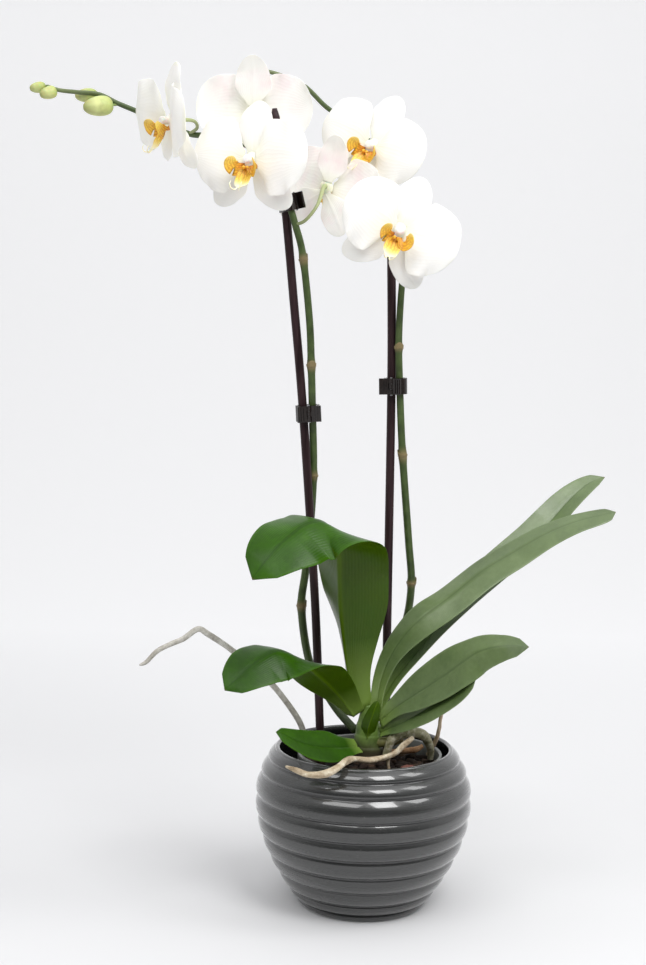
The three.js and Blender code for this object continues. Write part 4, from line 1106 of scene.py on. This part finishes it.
def stage():
    """A pale floor that curves up into a wall behind, in metres, and glows more towards the wall's top."""
    profile = [(FLOOR_NEAR, 0.0), (FLOOR_FAR, 0.0)]
    for a in np.linspace(0.05, math.pi / 2, 24):
        profile.append((FLOOR_FAR + BEND_RADIUS * math.sin(a), BEND_RADIUS * (1 - math.cos(a))))
    profile.append((FLOOR_FAR + BEND_RADIUS, WALL_TOP))
    points = [(x, y, z) for y, z in profile for x in (-FLOOR_HALF, FLOOR_HALF)]
    faces = [(2 * i, 2 * i + 1, 2 * i + 3, 2 * i + 2) for i in range(len(profile) - 1)]
    mesh = bpy.data.meshes.new("floor")
    mesh.from_pydata(points, [], faces)
    mesh.shade_smooth()
    floor = bpy.data.objects.new("floor", mesh)
    bpy.context.scene.collection.objects.link(floor)
    pale = Material("floor", Roughness=0.85, Specular_IOR_Level=0.1)
    split = pale.add("ShaderNodeSeparateXYZ", Vector=pale.place)
    away = pale.math("ADD", split.outputs["Y"], split.outputs["Z"])
    glow = pale.ramp(pale.math("DIVIDE", away, 4.0), (0.03, FLOOR_GLOW), (0.3, BEND_GLOW), (1.0, WALL_GLOW))
    pale.colour((0.66, 0.66, 0.668, 1))
    pale.shader.inputs["Emission Color"].default_value = (0.99, 0.992, 1, 1)
    pale.feed(pale.shader.inputs["Emission Strength"], glow)
    mesh.materials.append(pale.material)


def light(name, place, target, size, power):
    lamp = bpy.data.lights.new(name, "AREA")
    lamp.shape = "RECTANGLE"
    lamp.size, lamp.size_y = size
    lamp.energy = power
    holder = bpy.data.objects.new(name, lamp)
    bpy.context.scene.collection.objects.link(holder)
    holder.location = place
    way = Vector(target) - Vector(place)
    holder.rotation_euler = way.to_track_quat("-Z", "Y").to_euler()


ROOM_FRONT, ROOM_BACK = 0.12, 0.72
# name, degrees to the right of the camera, degrees up, width and height in metres, watts
WINDOWS = [
    ("window_right", 27, 52, (0.6, 0.7), 14),
    ("window_left", -30, 50, (1.0, 0.5), 7),
    ("window_side", 76, 50, (0.5, 0.6), 5),
]
WINDOW_DISTANCE = 1.7
AIM = Vector((0, 0, 0.2))


def lights():
    """A pale room that is darker on the camera's side, three high windows and a soft overhead light."""
    world = bpy.data.worlds.new("studio")
    world.use_nodes = True
    bpy.context.scene.world = world
    tree = world.node_tree
    direction = tree.nodes.new("ShaderNodeTexCoord").outputs["Generated"]
    split = tree.nodes.new("ShaderNodeSeparateXYZ")
    tree.links.new(direction, split.inputs[0])
    level = tree.nodes.new("ShaderNodeMapRange")
    level.interpolation_type = "SMOOTHSTEP"
    rise = tree.nodes.new("ShaderNodeMath")
    rise.operation = "MULTIPLY_ADD"
    rise.inputs[1].default_value = 0.6
    tree.links.new(split.outputs["Z"], rise.inputs[0])
    tree.links.new(split.outputs["Y"], rise.inputs[2])
    tree.links.new(rise.outputs[0], level.inputs["Value"])
    for key, value in (("From Min", -0.7), ("From Max", 0.3), ("To Min", ROOM_FRONT), ("To Max", ROOM_BACK)):
        level.inputs[key].default_value = value
    background = tree.nodes["Background"]
    background.inputs["Color"].default_value = (0.98, 0.985, 1.0, 1)
    tree.links.new(level.outputs["Result"], background.inputs["Strength"])
    for name, azimuth, elevation, size, power in WINDOWS:
        a, e = math.radians(azimuth), math.radians(elevation)
        way = Vector((math.sin(a) * math.cos(e), -math.cos(a) * math.cos(e), math.sin(e)))
        light(name, Vector((0, 0, 0.1)) + WINDOW_DISTANCE * way, AIM, size, power)
    light("overhead", (0.1, 0.1, 2.2), AIM, (2.0, 1.6), 7)


CAMERA_PLACE = (-0.037, -1.143, 0.430)
CAMERA_PITCH = math.radians(4.4)  # down
CAMERA_ROLL = math.radians(0.95)
CAMERA_LENS = 53.3


def camera():
    eye = bpy.data.cameras.new("camera")
    eye.lens = CAMERA_LENS
    eye.sensor_width = 36
    holder = bpy.data.objects.new("camera", eye)
    bpy.context.scene.collection.objects.link(holder)
    ahead = Vector((0, math.cos(CAMERA_PITCH), -math.sin(CAMERA_PITCH)))
    up = Vector((0, math.sin(CAMERA_PITCH), math.cos(CAMERA_PITCH)))
    right = Vector((1, 0, 0)) * math.cos(CAMERA_ROLL) + up * math.sin(CAMERA_ROLL)
    up = right.cross(ahead)
    turn = Matrix((right, up, -ahead)).transposed().to_4x4()
    turn.translation = Vector(CAMERA_PLACE)
    holder.matrix_world = turn
    bpy.context.scene.camera = holder


# ---- everything together
ceramic_pot()
nursery_pot()
bark_chips()
stem_base()
for name, shape in LEAVES.items():
    leaf(name, shape)
for name, shape in ROOTS.items():
    root(name, shape)
for name in ("left", "right"):
    stake(name)
    spike(name)
for name, f in FLOWERS.items():
    flower(name, f)
for i, b in enumerate(BUDS):
    bud(i, b)
clips()
stage()
lights()
camera()
bpy.context.scene.view_settings.view_transform = "Standard"
